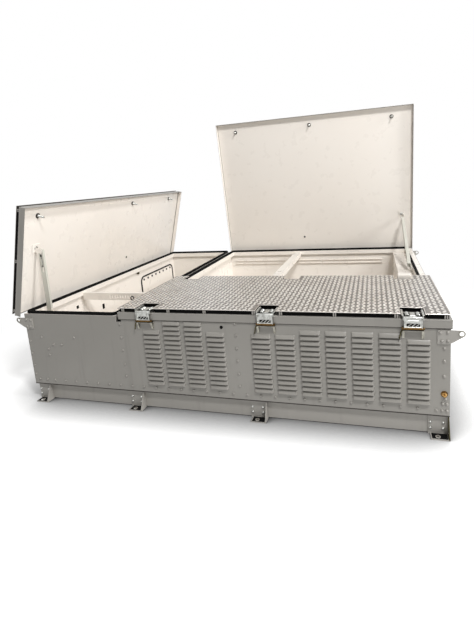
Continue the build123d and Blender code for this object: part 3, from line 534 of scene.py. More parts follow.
def layer(tree: bpy.types.NodeTree, under: Any, over: str, cover: Any, source: Span, most: float) -> Any:
    """Lay a colour over another: share = most (cover - a) / (b - a), held between 0 and most.

    Args:
        tree: Tree that gets the nodes.
        under: Linear colour, or socket, of what lies below.
        over: Hex colour of what lies on it.
        cover: Socket with the pattern of the upper colour.
        source: Values a and b of the pattern, where the share starts and where it is full.
        most: Largest share of the upper colour.

    Returns:
        The output socket with the colour.
    """
    share = add_node(
        tree,
        "ShaderNodeMapRange",
        {"Value": cover, "From Min": source[0], "From Max": source[1], "To Min": 0.0, "To Max": most},
    )
    blend = {"Factor": share.outputs["Result"], 6: under, 7: linear(over)}
    return add_node(tree, "ShaderNodeMix", blend, data_type="RGBA").outputs[2]


def varied(tree: bpy.types.NodeTree, size: float, target: Span) -> Any:
    """Vary a value in patches of one real size: noise from 0.3 to 0.7 goes to the target's ends.

    Args:
        tree: Tree that gets the nodes.
        size: Size of the patches in metres.
        target: Lowest and highest value.

    Returns:
        The output socket with the value.
    """
    patches = noise(tree, size)
    held = {"Value": patches, "From Min": 0.3, "From Max": 0.7, "To Min": target[0], "To Max": target[1]}
    return add_node(tree, "ShaderNodeMapRange", held).outputs["Result"]


def seen_share(tree: bpy.types.NodeTree) -> Any:
    """Tell rays of the camera, of mirrors and of glass from the light that bounces on.

    Args:
        tree: Tree that gets the nodes.

    Returns:
        The output socket, 1 for the first kind and 0 for the other.
    """
    path = add_node(tree, "ShaderNodeLightPath")
    direct = {0: path.outputs["Is Camera Ray"], 1: path.outputs["Is Glossy Ray"]}
    seen = add_node(tree, "ShaderNodeMath", direct, operation="MAXIMUM")
    through = {0: seen.outputs[0], 1: path.outputs["Is Transmission Ray"]}
    return add_node(tree, "ShaderNodeMath", through, operation="MAXIMUM").outputs[0]


@dataclass(frozen=True)
class Enamel:
    """Stoved enamel on sheet steel: even satin colour, soft orange peel, dust and faint runs."""

    name: str
    colour: str
    dust: str
    grime: str
    roughness: float
    run_share: float = 0.30
    cloud_size: float = 0.45
    run_size: float = 0.06
    peel_size: float = 0.006
    peel_height: float = 0.00012
    rough_share: float = 0.03
    rough_size: float = 0.09
    speck_size: float = 0.004

    def build(self) -> bpy.types.Material:
        """Mix paint, dust clouds and vertical runs, with the peel as bump."""
        material, tree = new_tree(self.name)
        clouds = noise(tree, self.cloud_size)
        tone = layer(tree, linear(self.colour), self.dust, clouds, (0.35, 0.70), 0.55)
        runs = noise(tree, self.run_size, (1.0, 1.0, 0.12))
        tone = layer(tree, tone, self.grime, runs, (0.58, 0.80), self.run_share)
        specks = noise(tree, self.speck_size, detail=1.0)
        tone = layer(tree, tone, self.grime, specks, (0.72, 0.80), 0.35)
        ends = (self.roughness - self.rough_share, self.roughness + self.rough_share)
        rough = varied(tree, self.rough_size, ends)
        peel = {"Height": noise(tree, self.peel_size, detail=1.0), "Distance": self.peel_height}
        bump = add_node(tree, "ShaderNodeBump", peel)
        shader = add_node(
            tree,
            "ShaderNodeBsdfPrincipled",
            {"Base Color": tone, "Roughness": rough, "IOR": 1.5, "Normal": bump.outputs["Normal"]},
        )
        add_node(tree, "ShaderNodeOutputMaterial", {"Surface": shader.outputs["BSDF"]})
        return material


@dataclass(frozen=True)
class Metal:
    """Bare or plated metal: tone and roughness vary in patches, with fine drawn lines as bump."""

    name: str
    colour: str
    stain: str
    roughness: float
    patch_size: float = 0.05
    line_size: float = 0.003
    line_height: float = 0.00008

    def build(self) -> bpy.types.Material:
        """Mix metal and stain, with a metallic of 1 and the metal's default IOR."""
        material, tree = new_tree(self.name)
        patches = noise(tree, self.patch_size)
        tone = layer(tree, linear(self.colour), self.stain, patches, (0.40, 0.72), 0.75)
        rough = varied(tree, self.patch_size * 0.4, (self.roughness - 0.08, self.roughness + 0.10))
        lines = noise(tree, self.line_size, (1.0, 0.15, 0.15), 2.0)
        bump = add_node(tree, "ShaderNodeBump", {"Height": lines, "Distance": self.line_height})
        shader = add_node(
            tree,
            "ShaderNodeBsdfPrincipled",
            {"Base Color": tone, "Metallic": 1.0, "Roughness": rough, "Normal": bump.outputs["Normal"]},
        )
        add_node(tree, "ShaderNodeOutputMaterial", {"Surface": shader.outputs["BSDF"]})
        return material


@dataclass(frozen=True)
class Rubber:
    """Foam or moulded rubber: near black, matt, with pale dust and fine pores."""

    name: str
    colour: str
    dust: str
    roughness: float
    sheen_off: float = 0.10
    pore_size: float = 0.003
    pore_depth: float = 0.0002
    dust_size: float = 0.05

    def build(self) -> bpy.types.Material:
        """Mix rubber and dust, with the pores as bump."""
        material, tree = new_tree(self.name)
        patches = noise(tree, self.dust_size)
        tone = layer(tree, linear(self.colour), self.dust, patches, (0.45, 0.75), 0.6)
        pores = {"Height": noise(tree, self.pore_size, detail=1.0), "Distance": self.pore_depth}
        bump = add_node(tree, "ShaderNodeBump", pores)
        shader = add_node(
            tree,
            "ShaderNodeBsdfPrincipled",
            {"Base Color": tone, "Roughness": self.roughness, "Specular IOR Level": self.sheen_off,
             "Normal": bump.outputs["Normal"]},
        )
        add_node(tree, "ShaderNodeOutputMaterial", {"Surface": shader.outputs["BSDF"]})
        return material


class Finishes:
    """All materials of the cabinet, each named for the real finish."""

    def __init__(self) -> None:
        """Build the materials once."""
        # Grey stoved enamel on the outside: satin, slightly warm, dusty, with faint rain runs
        self.grey = Enamel("grey_enamel", "#918E88", "#999690", "#726E69", 0.36).build()
        # Cream white enamel on the inside: warmer and cleaner, glossy enough for soft reflections
        self.cream = Enamel(
            "cream_enamel", "#F0EAE2", "#EEE7DE", "#D9D1C6", 0.28, 0.03, peel_height=0.00005, rough_share=0.01
        ).build()
        # Paler copy of the grey enamel on the base rails, feet, lugs and tab fronts: painted light, the same
        # paint made lighter where it shows brighter
        self.base = Enamel("grey_enamel_painted_lighter", "#A09D97", "#A8A49E", "#7C7873", 0.42).build()
        # Pale green grey enamel of the stays: cooler than the cream, a little scraped
        self.arm = Enamel("green_grey_enamel", "#CBCAC0", "#C1BFB4", "#939186", 0.34, 0.20).build()
        # Closed-cell foam rubber seal: black and matt, a little dust on top; the same black also paints shade
        # on the tread plates' edges and at the back of the latch trays
        self.seal = Rubber("foam_rubber_and_painted_shade", "#060606", "#0F0F0E", 0.75).build()
        # Black grit paint on the pads of the feet and in the valley: matt and dusty; the same black also
        # paints shade behind the louvre slots
        self.pad = Rubber("black_pad_coating_and_painted_shade", "#0A0A0A", "#1B1A19", 0.85).build()
        # Low ground of the rolled aluminium tread plate: dulled and darkened, partly dirt that feet don't
        # reach and partly painted shade for the plate's glint pattern
        self.tread = Metal("tread_ground_aluminium", "#9A9590", "#6F6A66", 0.40, 0.03).build()
        # Raised lozenges of the tread plate: rubbed bright by feet, and made brighter as a painted reflection
        # for the plate's glint pattern; the same bright metal paints light on the feet's hole rims and on the
        # last gusset
        self.lozenge = Metal("tread_lozenge_wear_and_painted_light", "#F4F0EA", "#DCD7D0", 0.26, 0.12).build()
        # Sheared edge of the aluminium plate: bright and smooth
        self.edge = Metal("sheared_aluminium_edge", "#D2CDC7", "#B7B2AC", 0.34, 0.08).build()
        # Zinc plated steel of latches, hinges and studs: pale bluish grey with dull patches
        self.zinc = Metal("zinc_plate", "#CBCCC8", "#8E8D88", 0.34, 0.02).build()
        # Weathered zinc of the latch keepers: darker and duller, with a yellowish bloom
        self.dull = Metal("weathered_zinc", "#A5A399", "#6F6C62", 0.44, 0.02).build()
        # Brass of the earth nut: warm and bright
        self.gold = Metal("brass", "#C09A62", "#8A6838", 0.32, 0.01).build()
        # Dark grey strips under the walls and under the cover's skirt: painted shade, matt, darker than the
        # paint
        self.joint_shade = Rubber("grey_painted_shade", "#3E3B38", "#4A4744", 0.7, 0.3).build()
        # Yellow chromate on the latch bars and the earth washer: brown gold, dulled by handling
        self.brass = Metal("yellow_chromate", "#6E5430", "#33281A", 0.40, 0.02).build()
        # Olive chromate on the locking pins: dark and dull; on the last foot's gusset the same dark olive is
        # painted shade
        self.olive = Metal("olive_chromate_and_painted_shade", "#5A5540", "#2E2B20", 0.48, 0.02).build()
        # Pale plastic of the terminal box: matt with a faint grain
        self.plastic = Enamel("pale_moulded_plastic", "#E9E4DC", "#DDD7CD", "#C5BDB1", 0.5, 0.05).build()
        # Black oxide bolts on the gland plate: dark and dull; the same black also paints shade behind the
        # latch windows, under the latch bars and in the stays' slots
        self.dark = Metal("black_oxide_and_painted_shade", "#2A2928", "#1A1918", 0.5, 0.01).build()


# Sub-assemblies


@dataclass
class Paintwork:
    """Finishes for the nodes of the frame; grey outside, cream inside."""

    finishes: Finishes
    grey_nodes: tuple[str, ...] = ("front_cover_tabs", "left_lid_tabs", "rear_lid_tabs", "valley_plate")
    base_nodes: tuple[str, ...] = (
        "front_base_rail", "rear_base_rail", "left_base_rail", "right_base_rail", "front_feet", "rear_feet",
        "front_lugs", "rear_lugs",
    )
    cream_nodes: tuple[str, ...] = (
        "floor_plate", "partition", "rear_rim", "left_stay_foot", "rear_stay_foot", "cross_beam",
        "left_cross_member", "wall_rails", "duct_wall", "gland_plate", "left_stay_bracket",
        "rear_stay_bracket",
    )
    arm_nodes: tuple[str, ...] = ("rear_stay", "left_stay")
    zinc_nodes: tuple[str, ...] = (
        "left_hinges", "rear_hinges", "left_lid_hinges", "rear_lid_hinges", "latch_cups",
        "left_latch_lever", "middle_latch_lever", "right_latch_lever", "left_lid_studs", "rear_lid_studs",
    )
    tread_nodes: tuple[str, ...] = ("front_tread_plate", "left_lid_tread_plate", "rear_lid_tread_plate")
    seal_nodes: tuple[str, ...] = ("gland_seal",)
    dull_nodes: tuple[str, ...] = ("latch_keepers",)
    brass_nodes: tuple[str, ...] = ("left_latch_bar", "middle_latch_bar", "right_latch_bar", "earth_stud")
    gusset_x: float = 1.4925

    def dress(self, nodes: dict[str, bpy.types.Object]) -> None:
        """Give every node its finish.

        Args:
            nodes: The frame's nodes by name.
        """
        groups = (
            (self.grey_nodes, self.finishes.grey), (self.cream_nodes, self.finishes.cream),
            (self.base_nodes, self.finishes.base), (self.arm_nodes, self.finishes.arm),
            (self.dull_nodes, self.finishes.dull),
            (self.zinc_nodes, self.finishes.zinc), (self.tread_nodes, self.finishes.tread),
            (self.seal_nodes, self.finishes.seal), (self.brass_nodes, self.finishes.brass),
        )
        for names, finish in groups:
            for name in names:
                nodes[name].data.materials.clear()
                nodes[name].data.materials.append(finish)
        # The side faces of every tread plate take the black foam finish: painted shade on the plates' edges
        for name, lid in zip(self.tread_nodes, (Lid.NONE, Lid.LEFT, Lid.REAR)):
            self.recolour(
                nodes[name], lid, lambda centres, normals: np.abs(normals[:, 2]) < 0.3, self.finishes.seal
            )
        # Faces of the last foot's gusset take the dark olive finish: painted shade
        self.recolour(
            nodes["front_feet"],
            Lid.NONE,
            lambda centres, normals: centres[:, 0] > self.gusset_x,
            self.finishes.olive,
        )
        self.recolour(
            nodes["valley_plate"],
            Lid.NONE,
            lambda centres, normals: normals[:, 2] > PLANE_FACING,
            self.finishes.pad,
        )
        gap = SKIRT_FROM_DIVIDER
        self.two_tone(nodes["left_rim"], Lid.NONE, ((0, DIVIDER_X - VALLEY_HALF, 1),))
        self.two_tone(nodes["front_rim"], Lid.NONE, ((0, DIVIDER_X + VALLEY_HALF, -1),))
        self.two_tone(nodes["left_wall"], Lid.NONE, ((0, LEFT, -1), (2, RIM_Z, 1)))
        self.two_tone(nodes["right_wall"], Lid.NONE, ((0, RIGHT, 1), (2, RIM_Z, 1)))
        self.two_tone(nodes["rear_wall"], Lid.NONE, ((1, REAR, 1), (2, RIM_Z, 1)))
        front_y, rear_y, right_x = FRONT - SKIRT_OUT, REAR + SKIRT_OUT, RIGHT + SKIRT_OUT
        self.two_tone(
            nodes["front_cover"],
            Lid.NONE,
            ((1, front_y, -1), (1, BEAM_Y - gap, 1), (0, right_x, 1), (0, DIVIDER_X + gap, -1),
             (2, PAN_TOP, 1), (2, SKIRT_BOTTOM, -1)),
        )
        self.two_tone(
            nodes["left_lid"],
            Lid.LEFT,
            ((1, LEFT_LID_Y[0] - SKIRT_OUT, -1), (1, rear_y, 1), (0, DIVIDER_X - gap, 1), (2, PAN_TOP, 1),
             (2, SKIRT_BOTTOM, -1)),
        )
        self.two_tone(
            nodes["rear_lid"],
            Lid.REAR,
            ((1, BEAM_Y + gap, -1), (0, right_x, 1), (0, DIVIDER_X + gap, -1), (2, PAN_TOP, 1),
             (2, SKIRT_BOTTOM, -1)),
        )

    def recolour(
        self,
        node: bpy.types.Object,
        lid: Lid,
        rule: Callable[[Array, Array], Array],
        finish: bpy.types.Material,
    ) -> None:
        """Give another finish to the faces that a rule picks.

        Args:
            node: Node of the frame.
            lid: Lid that the node is on.
            rule: Takes the faces' middles and normals with the lid closed, and says which faces change.
            finish: Their finish.
        """
        mesh = node.data
        count = len(mesh.polygons)
        centres, normals = np.zeros(count * 3), np.zeros(count * 3)
        mesh.polygons.foreach_get("center", centres)
        mesh.polygons.foreach_get("normal", normals)
        chosen = rule(lid.close(centres.reshape(-1, 3)), normals.reshape(-1, 3) @ lid.matrix()[:, :3])
        mesh.materials.append(finish)
        mesh.polygons.foreach_set("material_index", chosen.astype(np.int32) * (len(mesh.materials) - 1))
        mesh.update()

    def two_tone(
        self, node: bpy.types.Object, lid: Lid, outside: Sequence[tuple[int, float, int]]
    ) -> None:
        """Paint the faces that lie in outer planes grey and all the others cream.

        Args:
            node: Node of the frame.
            lid: Lid that the node is on.
            outside: Planes as (axis, place, side that the face looks to), with the lid closed.
        """
        def rule(centres: Array, normals: Array) -> Array:
            """Pick the faces that lie in one of the planes and look to its outer side."""
            near = [np.abs(centres[:, axis] - place) < PLANE_REACH for axis, place, side in outside]
            faced = [normals[:, axis] * side > PLANE_FACING for axis, place, side in outside]
            return np.any(np.array(near) & np.array(faced), axis=0)

        node.data.materials.clear()
        node.data.materials.append(self.finishes.cream)
        self.recolour(node, lid, rule, self.finishes.grey)


@dataclass
class LouvredWall:
    """Front wall: one sheet with slots, and a smooth pressed hood over every slot."""

    finishes: Finishes
    length: float = 0.1315
    height: float = 0.024
    out: float = 0.0165
    sheet: float = 0.002
    taper: float = 0.011
    row: float = 0.0345
    column: float = 0.1593
    bottom: float = 0.205
    backing_margin: float = 0.012
    groups: tuple[tuple[float, tuple[int, ...]], ...] = (
        (1.012, (12, 14, 14, 12)),
        (1.806, (12, 12, 13, 13, 13, 13, 12)),
    )

    def corners(self) -> Array:
        """Return the lower left corner of every louvre as (x, z)."""
        places = [
            (LEFT + start + number * self.column, self.bottom + row * self.row)
            for start, counts in self.groups
            for number, rows in enumerate(counts)
            for row in range(rows)
        ]
        return np.array(places)

    def hood_grid(self, inset: float) -> Array:
        """Give the hood's surface: out(u, v) = D e(u) v ** 0.65.

        e(u) is a quarter ellipse over the taper at both ends, v runs from the root at the top (0)
        to the lip at the bottom (1).

        Args:
            inset: How far this skin lies inside the outer one.

        Returns:
            Grid of points with x along the louvre, -y out of the wall and z up; it faces into the wall.
        """
        edge = np.array([0.0, 0.04, 0.16, 0.38, 0.68, 1.0]) * self.taper
        length = self.length - 2 * inset
        along = np.concatenate([edge, (length - edge)[::-1]])
        near = np.minimum(along, length - along) / self.taper
        end = np.sqrt(np.clip(1 - (1 - np.clip(near, 0, 1)) ** 2, 0, 1))
        v = np.linspace(0.0, 1.0, 7) ** 1.4
        rise = v**0.65
        out = (self.out - inset) * end[:, None] * rise[None]
        z = (self.height - 2 * inset) * (1 - v)
        x = np.broadcast_to((along + inset)[:, None], out.shape)
        return np.stack([x, -out, np.broadcast_to(z[None], out.shape)], axis=-1)

    def sheet_surface(self, corners: Array) -> tuple[Surface, Array]:
        """Cut the slots and the notch of the valley out of a sheet on a grid of its own edges.

        Args:
            corners: Lower left corners of the louvres.

        Returns:
            The closed sheet, and per face whether it looks outwards.
        """
        t = self.sheet
        lefts = np.unique(np.round(corners[:, 0], 6))
        lows = np.unique(np.round(corners[:, 1], 6))
        notch = (DIVIDER_X - VALLEY_HALF, DIVIDER_X + VALLEY_HALF)
        xs = np.unique(np.concatenate([[LEFT, RIGHT, *notch], lefts + t, lefts + self.length - t]))
        zs = np.unique(np.concatenate([[FLOOR_Z, RIM_Z, RIM_Z - RIM_DROP], lows, lows + self.height - 2 * t]))
        mid_x, mid_z = (xs[1:] + xs[:-1]) / 2, (zs[1:] + zs[:-1]) / 2
        solid = np.ones((len(mid_x), len(mid_z)), bool)
        for x, z in corners:
            inside_x = (mid_x > x + t) & (mid_x < x + self.length - t)
            inside_z = (mid_z > z) & (mid_z < z + self.height - 2 * t)
            solid &= ~(inside_x[:, None] & inside_z[None])
        in_notch = (mid_x > notch[0]) & (mid_x < notch[1])
        solid &= ~(in_notch[:, None] & (mid_z > RIM_Z - RIM_DROP)[None])
        count_x, count_z = len(xs), len(zs)
        x, z = np.meshgrid(xs, zs, indexing="ij")
        layer = np.stack([x, np.full_like(x, FRONT), z], axis=-1).reshape(-1, 3)
        points = np.vstack([layer, layer + [0.0, WALL_T, 0.0]])
        index = np.arange(count_x * count_z).reshape(count_x, count_z)
        back = index + count_x * count_z
        cells = np.argwhere(solid)
        i, j = cells[:, 0], cells[:, 1]
        outer = np.stack([index[i, j], index[i + 1, j], index[i + 1, j + 1], index[i, j + 1]], axis=-1)
        inner = np.stack([back[i, j], back[i, j + 1], back[i + 1, j + 1], back[i + 1, j]], axis=-1)
        padded = np.pad(solid, 1)
        core = padded[1:-1, 1:-1]
        sides = []
        for shift_i, shift_j, a, b in (
            (-1, 0, (0, 1), (0, 0)), (1, 0, (1, 0), (1, 1)), (0, -1, (0, 0), (1, 0)), (0, 1, (1, 1), (0, 1)),
        ):
            rows = slice(1 + shift_i, padded.shape[0] - 1 + shift_i)
            columns = slice(1 + shift_j, padded.shape[1] - 1 + shift_j)
            beside = padded[rows, columns]
            edge = np.argwhere(core & ~beside)
            p, q = edge[:, 0], edge[:, 1]
            first, second = (p + a[0], q + a[1]), (p + b[0], q + b[1])
            sides.append(np.stack([index[second], index[first], back[first], back[second]], axis=-1))
        faces = np.vstack([outer, inner, *sides])
        outward = np.zeros(len(faces), bool)
        outward[: len(outer)] = True
        return Surface(points, [faces]), outward

    def build(self) -> list[bpy.types.Object]:
        """Make the sheet, the hoods and a black block behind the slots that paints their shade; they stand
        for the wall node.
        """
        corners = self.corners()
        surface, outward = self.sheet_surface(corners)
        sheet = make_piece("louvred_wall_sheet", surface, self.finishes.cream, smooth=False)
        sheet.data.materials.append(self.finishes.grey)
        sheet.data.polygons.foreach_set("material_index", outward.astype(np.int32))
        hood = shell(self.hood_grid(0.0), self.hood_grid(self.sheet))
        frames = np.zeros((len(corners), 3, 4))
        frames[:, :, :3] = np.eye(3)
        frames[:, 0, 3], frames[:, 1, 3], frames[:, 2, 3] = corners[:, 0], FRONT + 0.2 * MM, corners[:, 1]
        hoods = make_piece("louvre_hoods", hood.repeated(frames), self.finishes.grey)
        # A black block behind the slots paints the shade seen through the louvres' openings
        low = corners.min(axis=0) - self.backing_margin
        high = corners.max(axis=0) + [self.length + self.backing_margin, self.height + self.backing_margin]
        back = FRONT + WALL_T
        shade_backing = block((low[0], back + 0.001, low[1]), (high[0], back + 0.009, high[1]), 0.001)
        foam = make_piece("louvre_painted_shade_backing", shade_backing, self.finishes.pad, smooth=False)
        for piece in (sheet, hoods, foam):
            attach(piece, Body.BOX.value)
        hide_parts("front_wall")
        return [sheet, hoods, foam]


@dataclass
class TreadLugs:
    """Raised lozenges of one rolled tread plate, in two crossed directions by turns."""

    name: str
    body: Body
    lid: Lid
    finish: bpy.types.Material
    x: Span
    y: Span
    notches: tuple[tuple[Span, Span], ...] = ()
    pitch: float = 0.0325
    length: float = 0.0335
    width: float = 0.0125
    height: float = 0.0024

    def lug(self) -> Surface:
        """Give one lozenge, open below: rings (s L cos t, w(s) W sin t), rounded off to the top."""
        angle = np.linspace(0.0, 2 * math.pi, 6, endpoint=False)
        scale = np.array([[1.0, 1.0, -0.2], [0.80, 0.62, 0.85], [0.45, 0.25, 1.0]])
        x = 0.5 * self.length * scale[None, :, 0] * np.cos(angle)[:, None]
        y = 0.5 * self.width * scale[None, :, 1] * np.sin(angle)[:, None] * 1.15
        z = np.broadcast_to(self.height * scale[None, :, 2], x.shape)
        ring = Surface.from_grid(np.stack([x, y, z], axis=-1), wrap_u=True)
        top = np.arange(6)[None] * 3 + 2
        return Surface(ring.points, ring.faces + [top])

    def build(self) -> bpy.types.Object:
        """Place the lozenges on a square grid clear of the plate's edges and notches."""
        room = 0.4 * self.length
        columns = int((self.x[1] - self.x[0]) / self.pitch)
        rows = int((self.y[1] - self.y[0]) / self.pitch)
        grid = np.meshgrid(np.arange(columns), np.arange(rows), indexing="ij")
        i, j = (index.reshape(-1) for index in grid)
        x = (self.x[0] + self.x[1]) / 2 + (i - (columns - 1) / 2) * self.pitch
        y = (self.y[0] + self.y[1]) / 2 + (j - (rows - 1) / 2) * self.pitch
        keep = (x > self.x[0] + room) & (x < self.x[1] - room)
        keep &= (y > self.y[0] + room) & (y < self.y[1] - room)
        for notch_x, notch_y in self.notches:
            inside_x = (x > notch_x[0] - room) & (x < notch_x[1] + room)
            inside_y = (y > notch_y[0] - room) & (y < notch_y[1] + room)
            keep &= ~(inside_x & inside_y)
        i, j, x, y = i[keep], j[keep], x[keep], y[keep]
        angle = np.where((i + j) % 2 == 0, math.pi / 4, -math.pi / 4)
        frames = np.zeros((len(x), 3, 4))
        frames[:, 0, 0], frames[:, 0, 1] = np.cos(angle), -np.sin(angle)
        frames[:, 1, 0], frames[:, 1, 1] = np.sin(angle), np.cos(angle)
        frames[:, 2, 2] = 1.0
        frames[:, 0, 3], frames[:, 1, 3], frames[:, 2, 3] = x, y, TREAD_TOP
        piece = make_piece(self.name, self.lug().repeated(frames).opened(self.lid), self.finish)
        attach(piece, self.body.value)
        return piece


@dataclass
class RimSeal:
    """Foam rubber seal on one rim: a D profile carried round a rectangle with round corners."""

    name: str
    finish: bpy.types.Material
    ring_x: Span
    ring_y: Span
    right_rim: float
    height: float
    rim: float = 0.028
    inset: float = 0.005
    width: float = 0.021
    radius: float = 0.03

    def profile(self) -> Array:
        """Give the D section: w/2 |cos t| ** 0.8 sideways and h |sin t| ** 0.7 upwards, flat below."""
        t = np.linspace(0.0, math.pi, 11)
        across = 0.5 * self.width * np.sign(np.cos(t)) * np.abs(np.cos(t)) ** 0.8
        above = self.height * np.abs(np.sin(t)) ** 0.7
        return np.stack([across, above], axis=-1)

    def build(self) -> bpy.types.Object:
        """Carry the section along the middle line of the seal, and stand for the seal's node."""
        mid = self.rim - self.inset - self.width / 2
        x = (self.ring_x[0] + mid, self.ring_x[1] - self.right_rim + self.rim - mid)
        y = (self.ring_y[0] + mid, self.ring_y[1] - mid)
        flat = rounded_rectangle(x, y, self.radius, 7)
        path = np.column_stack([flat, np.full(len(flat), RIM_Z)])
        piece = make_piece(self.name, sweep(path, self.profile(), (0, 0, 1), closed=True), self.finish)
        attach(piece, Body.BOX.value)
        return piece


@dataclass
class Rivets:
    """Round heads on the front wall and the lugs, and on the plates of the feet."""

    finishes: Finishes
    rail_y: float = FRONT + 0.025
    radius: float = 0.0095
    height: float = 0.0085

    def dome(self) -> Surface:
        """Turn a low round head: r cos t and h sin t from edge to crown."""
        t = np.linspace(0.0, 1.35, 4)
        crown = [(self.radius * math.cos(a), self.height * math.sin(a)) for a in t]
        return lathe([(self.radius, -0.2 * MM), *crown], 10)

    def front_places(self) -> Array:
        """List the rivet heads of the front wall as points in its plane."""
        row = [51.0, 120.0, 193.0] + [287.0 + 97.5 * k for k in range(27)]
        spots = [(x, 172.0) for x in row if x < 2860.0]
        spots += [(18.0, z) for z in (584.0, 484.0, 384.0, 287.0, 212.0)]
        spots += [(833.0, z) for z in (645.0, 545.0, 447.0, 340.0, 247.0)]
        spots += [(1702.0, z) for z in (673.0, 591.0, 501.0, 412.0, 320.0, 232.0)]
        spots += [(2966.0, z) for z in (560.0, 482.0, 387.0)]
        spots += [(2975.0, 243.0), (2960.0, 212.0), (2983.0, 212.0)]
        spots += [(2926.0, 168.0), (2957.0, 168.0), (2984.0, 169.0)]
        spots += [(130.0, 520.0), (230.0, 464.0), (306.0, 467.0)]
        spots += [(179.0, 429.0), (180.0, 379.0), (425.0, 528.0)]
        flat = np.array(spots) * MM
        return np.column_stack([LEFT + flat[:, 0], np.full(len(flat), FRONT), flat[:, 1]])

    def build(self) -> list[bpy.types.Object]:
        """Set all heads on their planes."""
        head = self.dome()
        heads = head.repeated(frames_at(self.front_places(), (0, -1, 0), (1, 0, 0)))
        lug = np.array(
            [(1.442, -1.256, 0.657), (1.482, -1.256, 0.659), (1.451, -1.256, 0.606), (1.483, -1.256, 0.608)]
        )
        both = np.vstack([lug, lug * [-1, 1, 1]])
        front_lugs = head.repeated(frames_at(both, (0, -1, 0), (1, 0, 0)))
        rear_lugs = head.repeated(frames_at(both * [1, -1, 1], (0, 1, 0), (1, 0, 0)))
        plate_y = self.rail_y - 0.006
        plates = np.array(
            [(x + dx, plate_y, z) for x in FEET_X for dx in (-0.039, 0.033) for z in (0.078, 0.040)]
        )
        feet = head.repeated(frames_at(plates, (0, -1, 0), (1, 0, 0)))
        rear = head.repeated(frames_at(plates * [1, -1, 1], (0, 1, 0), (1, 0, 0)))
        pieces = [
            make_piece("front_rivets", joined([heads, front_lugs, rear_lugs]), self.finishes.grey),
            make_piece("foot_bolts", joined([feet, rear]), self.finishes.zinc),
        ]
        for piece in pieces:
            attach(piece, Body.BOX.value)
        return pieces


@dataclass
class LidEdge:
    """Edge of one lid or of the cover: foam strip under the tread plate, its sheared lip, the pan's bend."""

    name: str
    body: Body
    lid: Lid
    finishes: Finishes
    x: Span
    y: Span
    pan_x: Span
    pan_y: Span
    front_notches: tuple[float, ...] = ()
    rear_notches: tuple[float, ...] = ()
    tabs_x: tuple[float, ...] = ()
    foam_out: float = -0.009
    foam_in: float = -0.024

    def outline(self) -> Array:
        """Trace the tread plate with its notches, counter-clockwise."""
        points = [(self.x[0], self.y[0])]
        edge, inner = self.y[0], self.y[0] + NOTCH_DEPTH
        for c in self.front_notches:
            left, right = c - NOTCH_HALF, c + NOTCH_HALF
            points += [(left, edge), (left, inner), (right, inner), (right, edge)]
        points += [(self.x[1], self.y[0]), (self.x[1], self.y[1])]
        edge, inner = self.y[1], self.y[1] - NOTCH_DEPTH
        for c in reversed(self.rear_notches):
            left, right = c - NOTCH_HALF, c + NOTCH_HALF
            points += [(right, edge), (right, inner), (left, inner), (left, edge)]
        points.append((self.x[0], self.y[1]))
        return np.array(points)

    def build(self) -> list[bpy.types.Object]:
        """Carry the foam, the lip and the bend round their outlines."""
        outline = self.outline()
        foam = border(
            outline,
            ((self.foam_out, PAN_TOP), (self.foam_out, TREAD_BOTTOM),
             (self.foam_in, TREAD_BOTTOM), (self.foam_in, PAN_TOP)),
        )
        lip = border(
            outline,
            ((0.0010, TREAD_TOP - 0.002), (0.0016, TREAD_TOP), (0.0004, TREAD_TOP + 0.0012),
             (-0.0035, TREAD_TOP + 0.0012), (-0.0050, TREAD_TOP), (-0.0040, TREAD_TOP - 0.002)),
        )
        bend = border(
            rectangle(self.pan_x, self.pan_y),
            ((-0.0005, PAN_TOP - 0.012), (0.0008, PAN_TOP - 0.009), (0.0016, PAN_TOP - 0.005),
             (0.0012, PAN_TOP - 0.0015), (-0.0008, PAN_TOP + 0.0006), (-0.0045, PAN_TOP + 0.0008),
             (-0.0050, PAN_TOP - 0.012)),
        )
        made = [
            make_piece(f"{self.name}_edge_foam", foam.opened(self.lid), self.finishes.seal, smooth=False),
            make_piece(f"{self.name}_tread_lip", lip.opened(self.lid), self.finishes.edge),
            make_piece(f"{self.name}_pan_bend", bend.opened(self.lid), self.finishes.grey),
        ]
        if self.tabs_x:
            y = (self.y[0] + 0.001, self.y[0] + 0.012)
            middles = [x + dx for x in self.tabs_x for dx in (-0.006, 0.006)]
            tabs = [
                block((x - 0.0035, y[0], PAN_TOP), (x + 0.0035, y[1], TREAD_BOTTOM), 0.0005) for x in middles
            ]
            fronts = joined(tabs).opened(self.lid)
            made.append(make_piece(f"{self.name}_tab_fronts", fronts, self.finishes.base, smooth=False))
        for piece in made:
            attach(piece, self.body.value)
        return made


@dataclass
class ShadeStrips:
    """Dark grey strips that paint the shade in the joint under the walls and under the skirt of the cover."""

    finishes: Finishes
    high: float = 0.007
    skirt_high: float = 0.0045
    out: float = 0.0062

    def build(self) -> list[bpy.types.Object]:
        """Carry a dark band round the foot of the box, and lay one behind the edge of the skirt: both painted
        shade.
        """
        low = FLOOR_Z - self.high
        foot = border(
            rectangle((LEFT, RIGHT), (FRONT, REAR)),
            ((-0.024, low), (0.0006, low), (0.0006, FLOOR_Z), (-0.024, FLOOR_Z)),
        )
        bottom = SKIRT_BOTTOM - self.skirt_high
        front = block(
            (COVER_X[0] + 0.004, FRONT - self.out, bottom), (RIGHT + self.out, FRONT, SKIRT_BOTTOM), 0.0005
        )
        side = block((RIGHT, FRONT, bottom), (RIGHT + self.out, COVER_Y[1], SKIRT_BOTTOM), 0.0005)
        made = [
            make_piece("wall_foot_painted_shade", foot, self.finishes.joint_shade, smooth=False),
            make_piece("cover_skirt_painted_shade", joined([front, side]), self.finishes.joint_shade, smooth=False),
        ]
        for piece in made:
            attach(piece, Body.BOX.value)
        return made


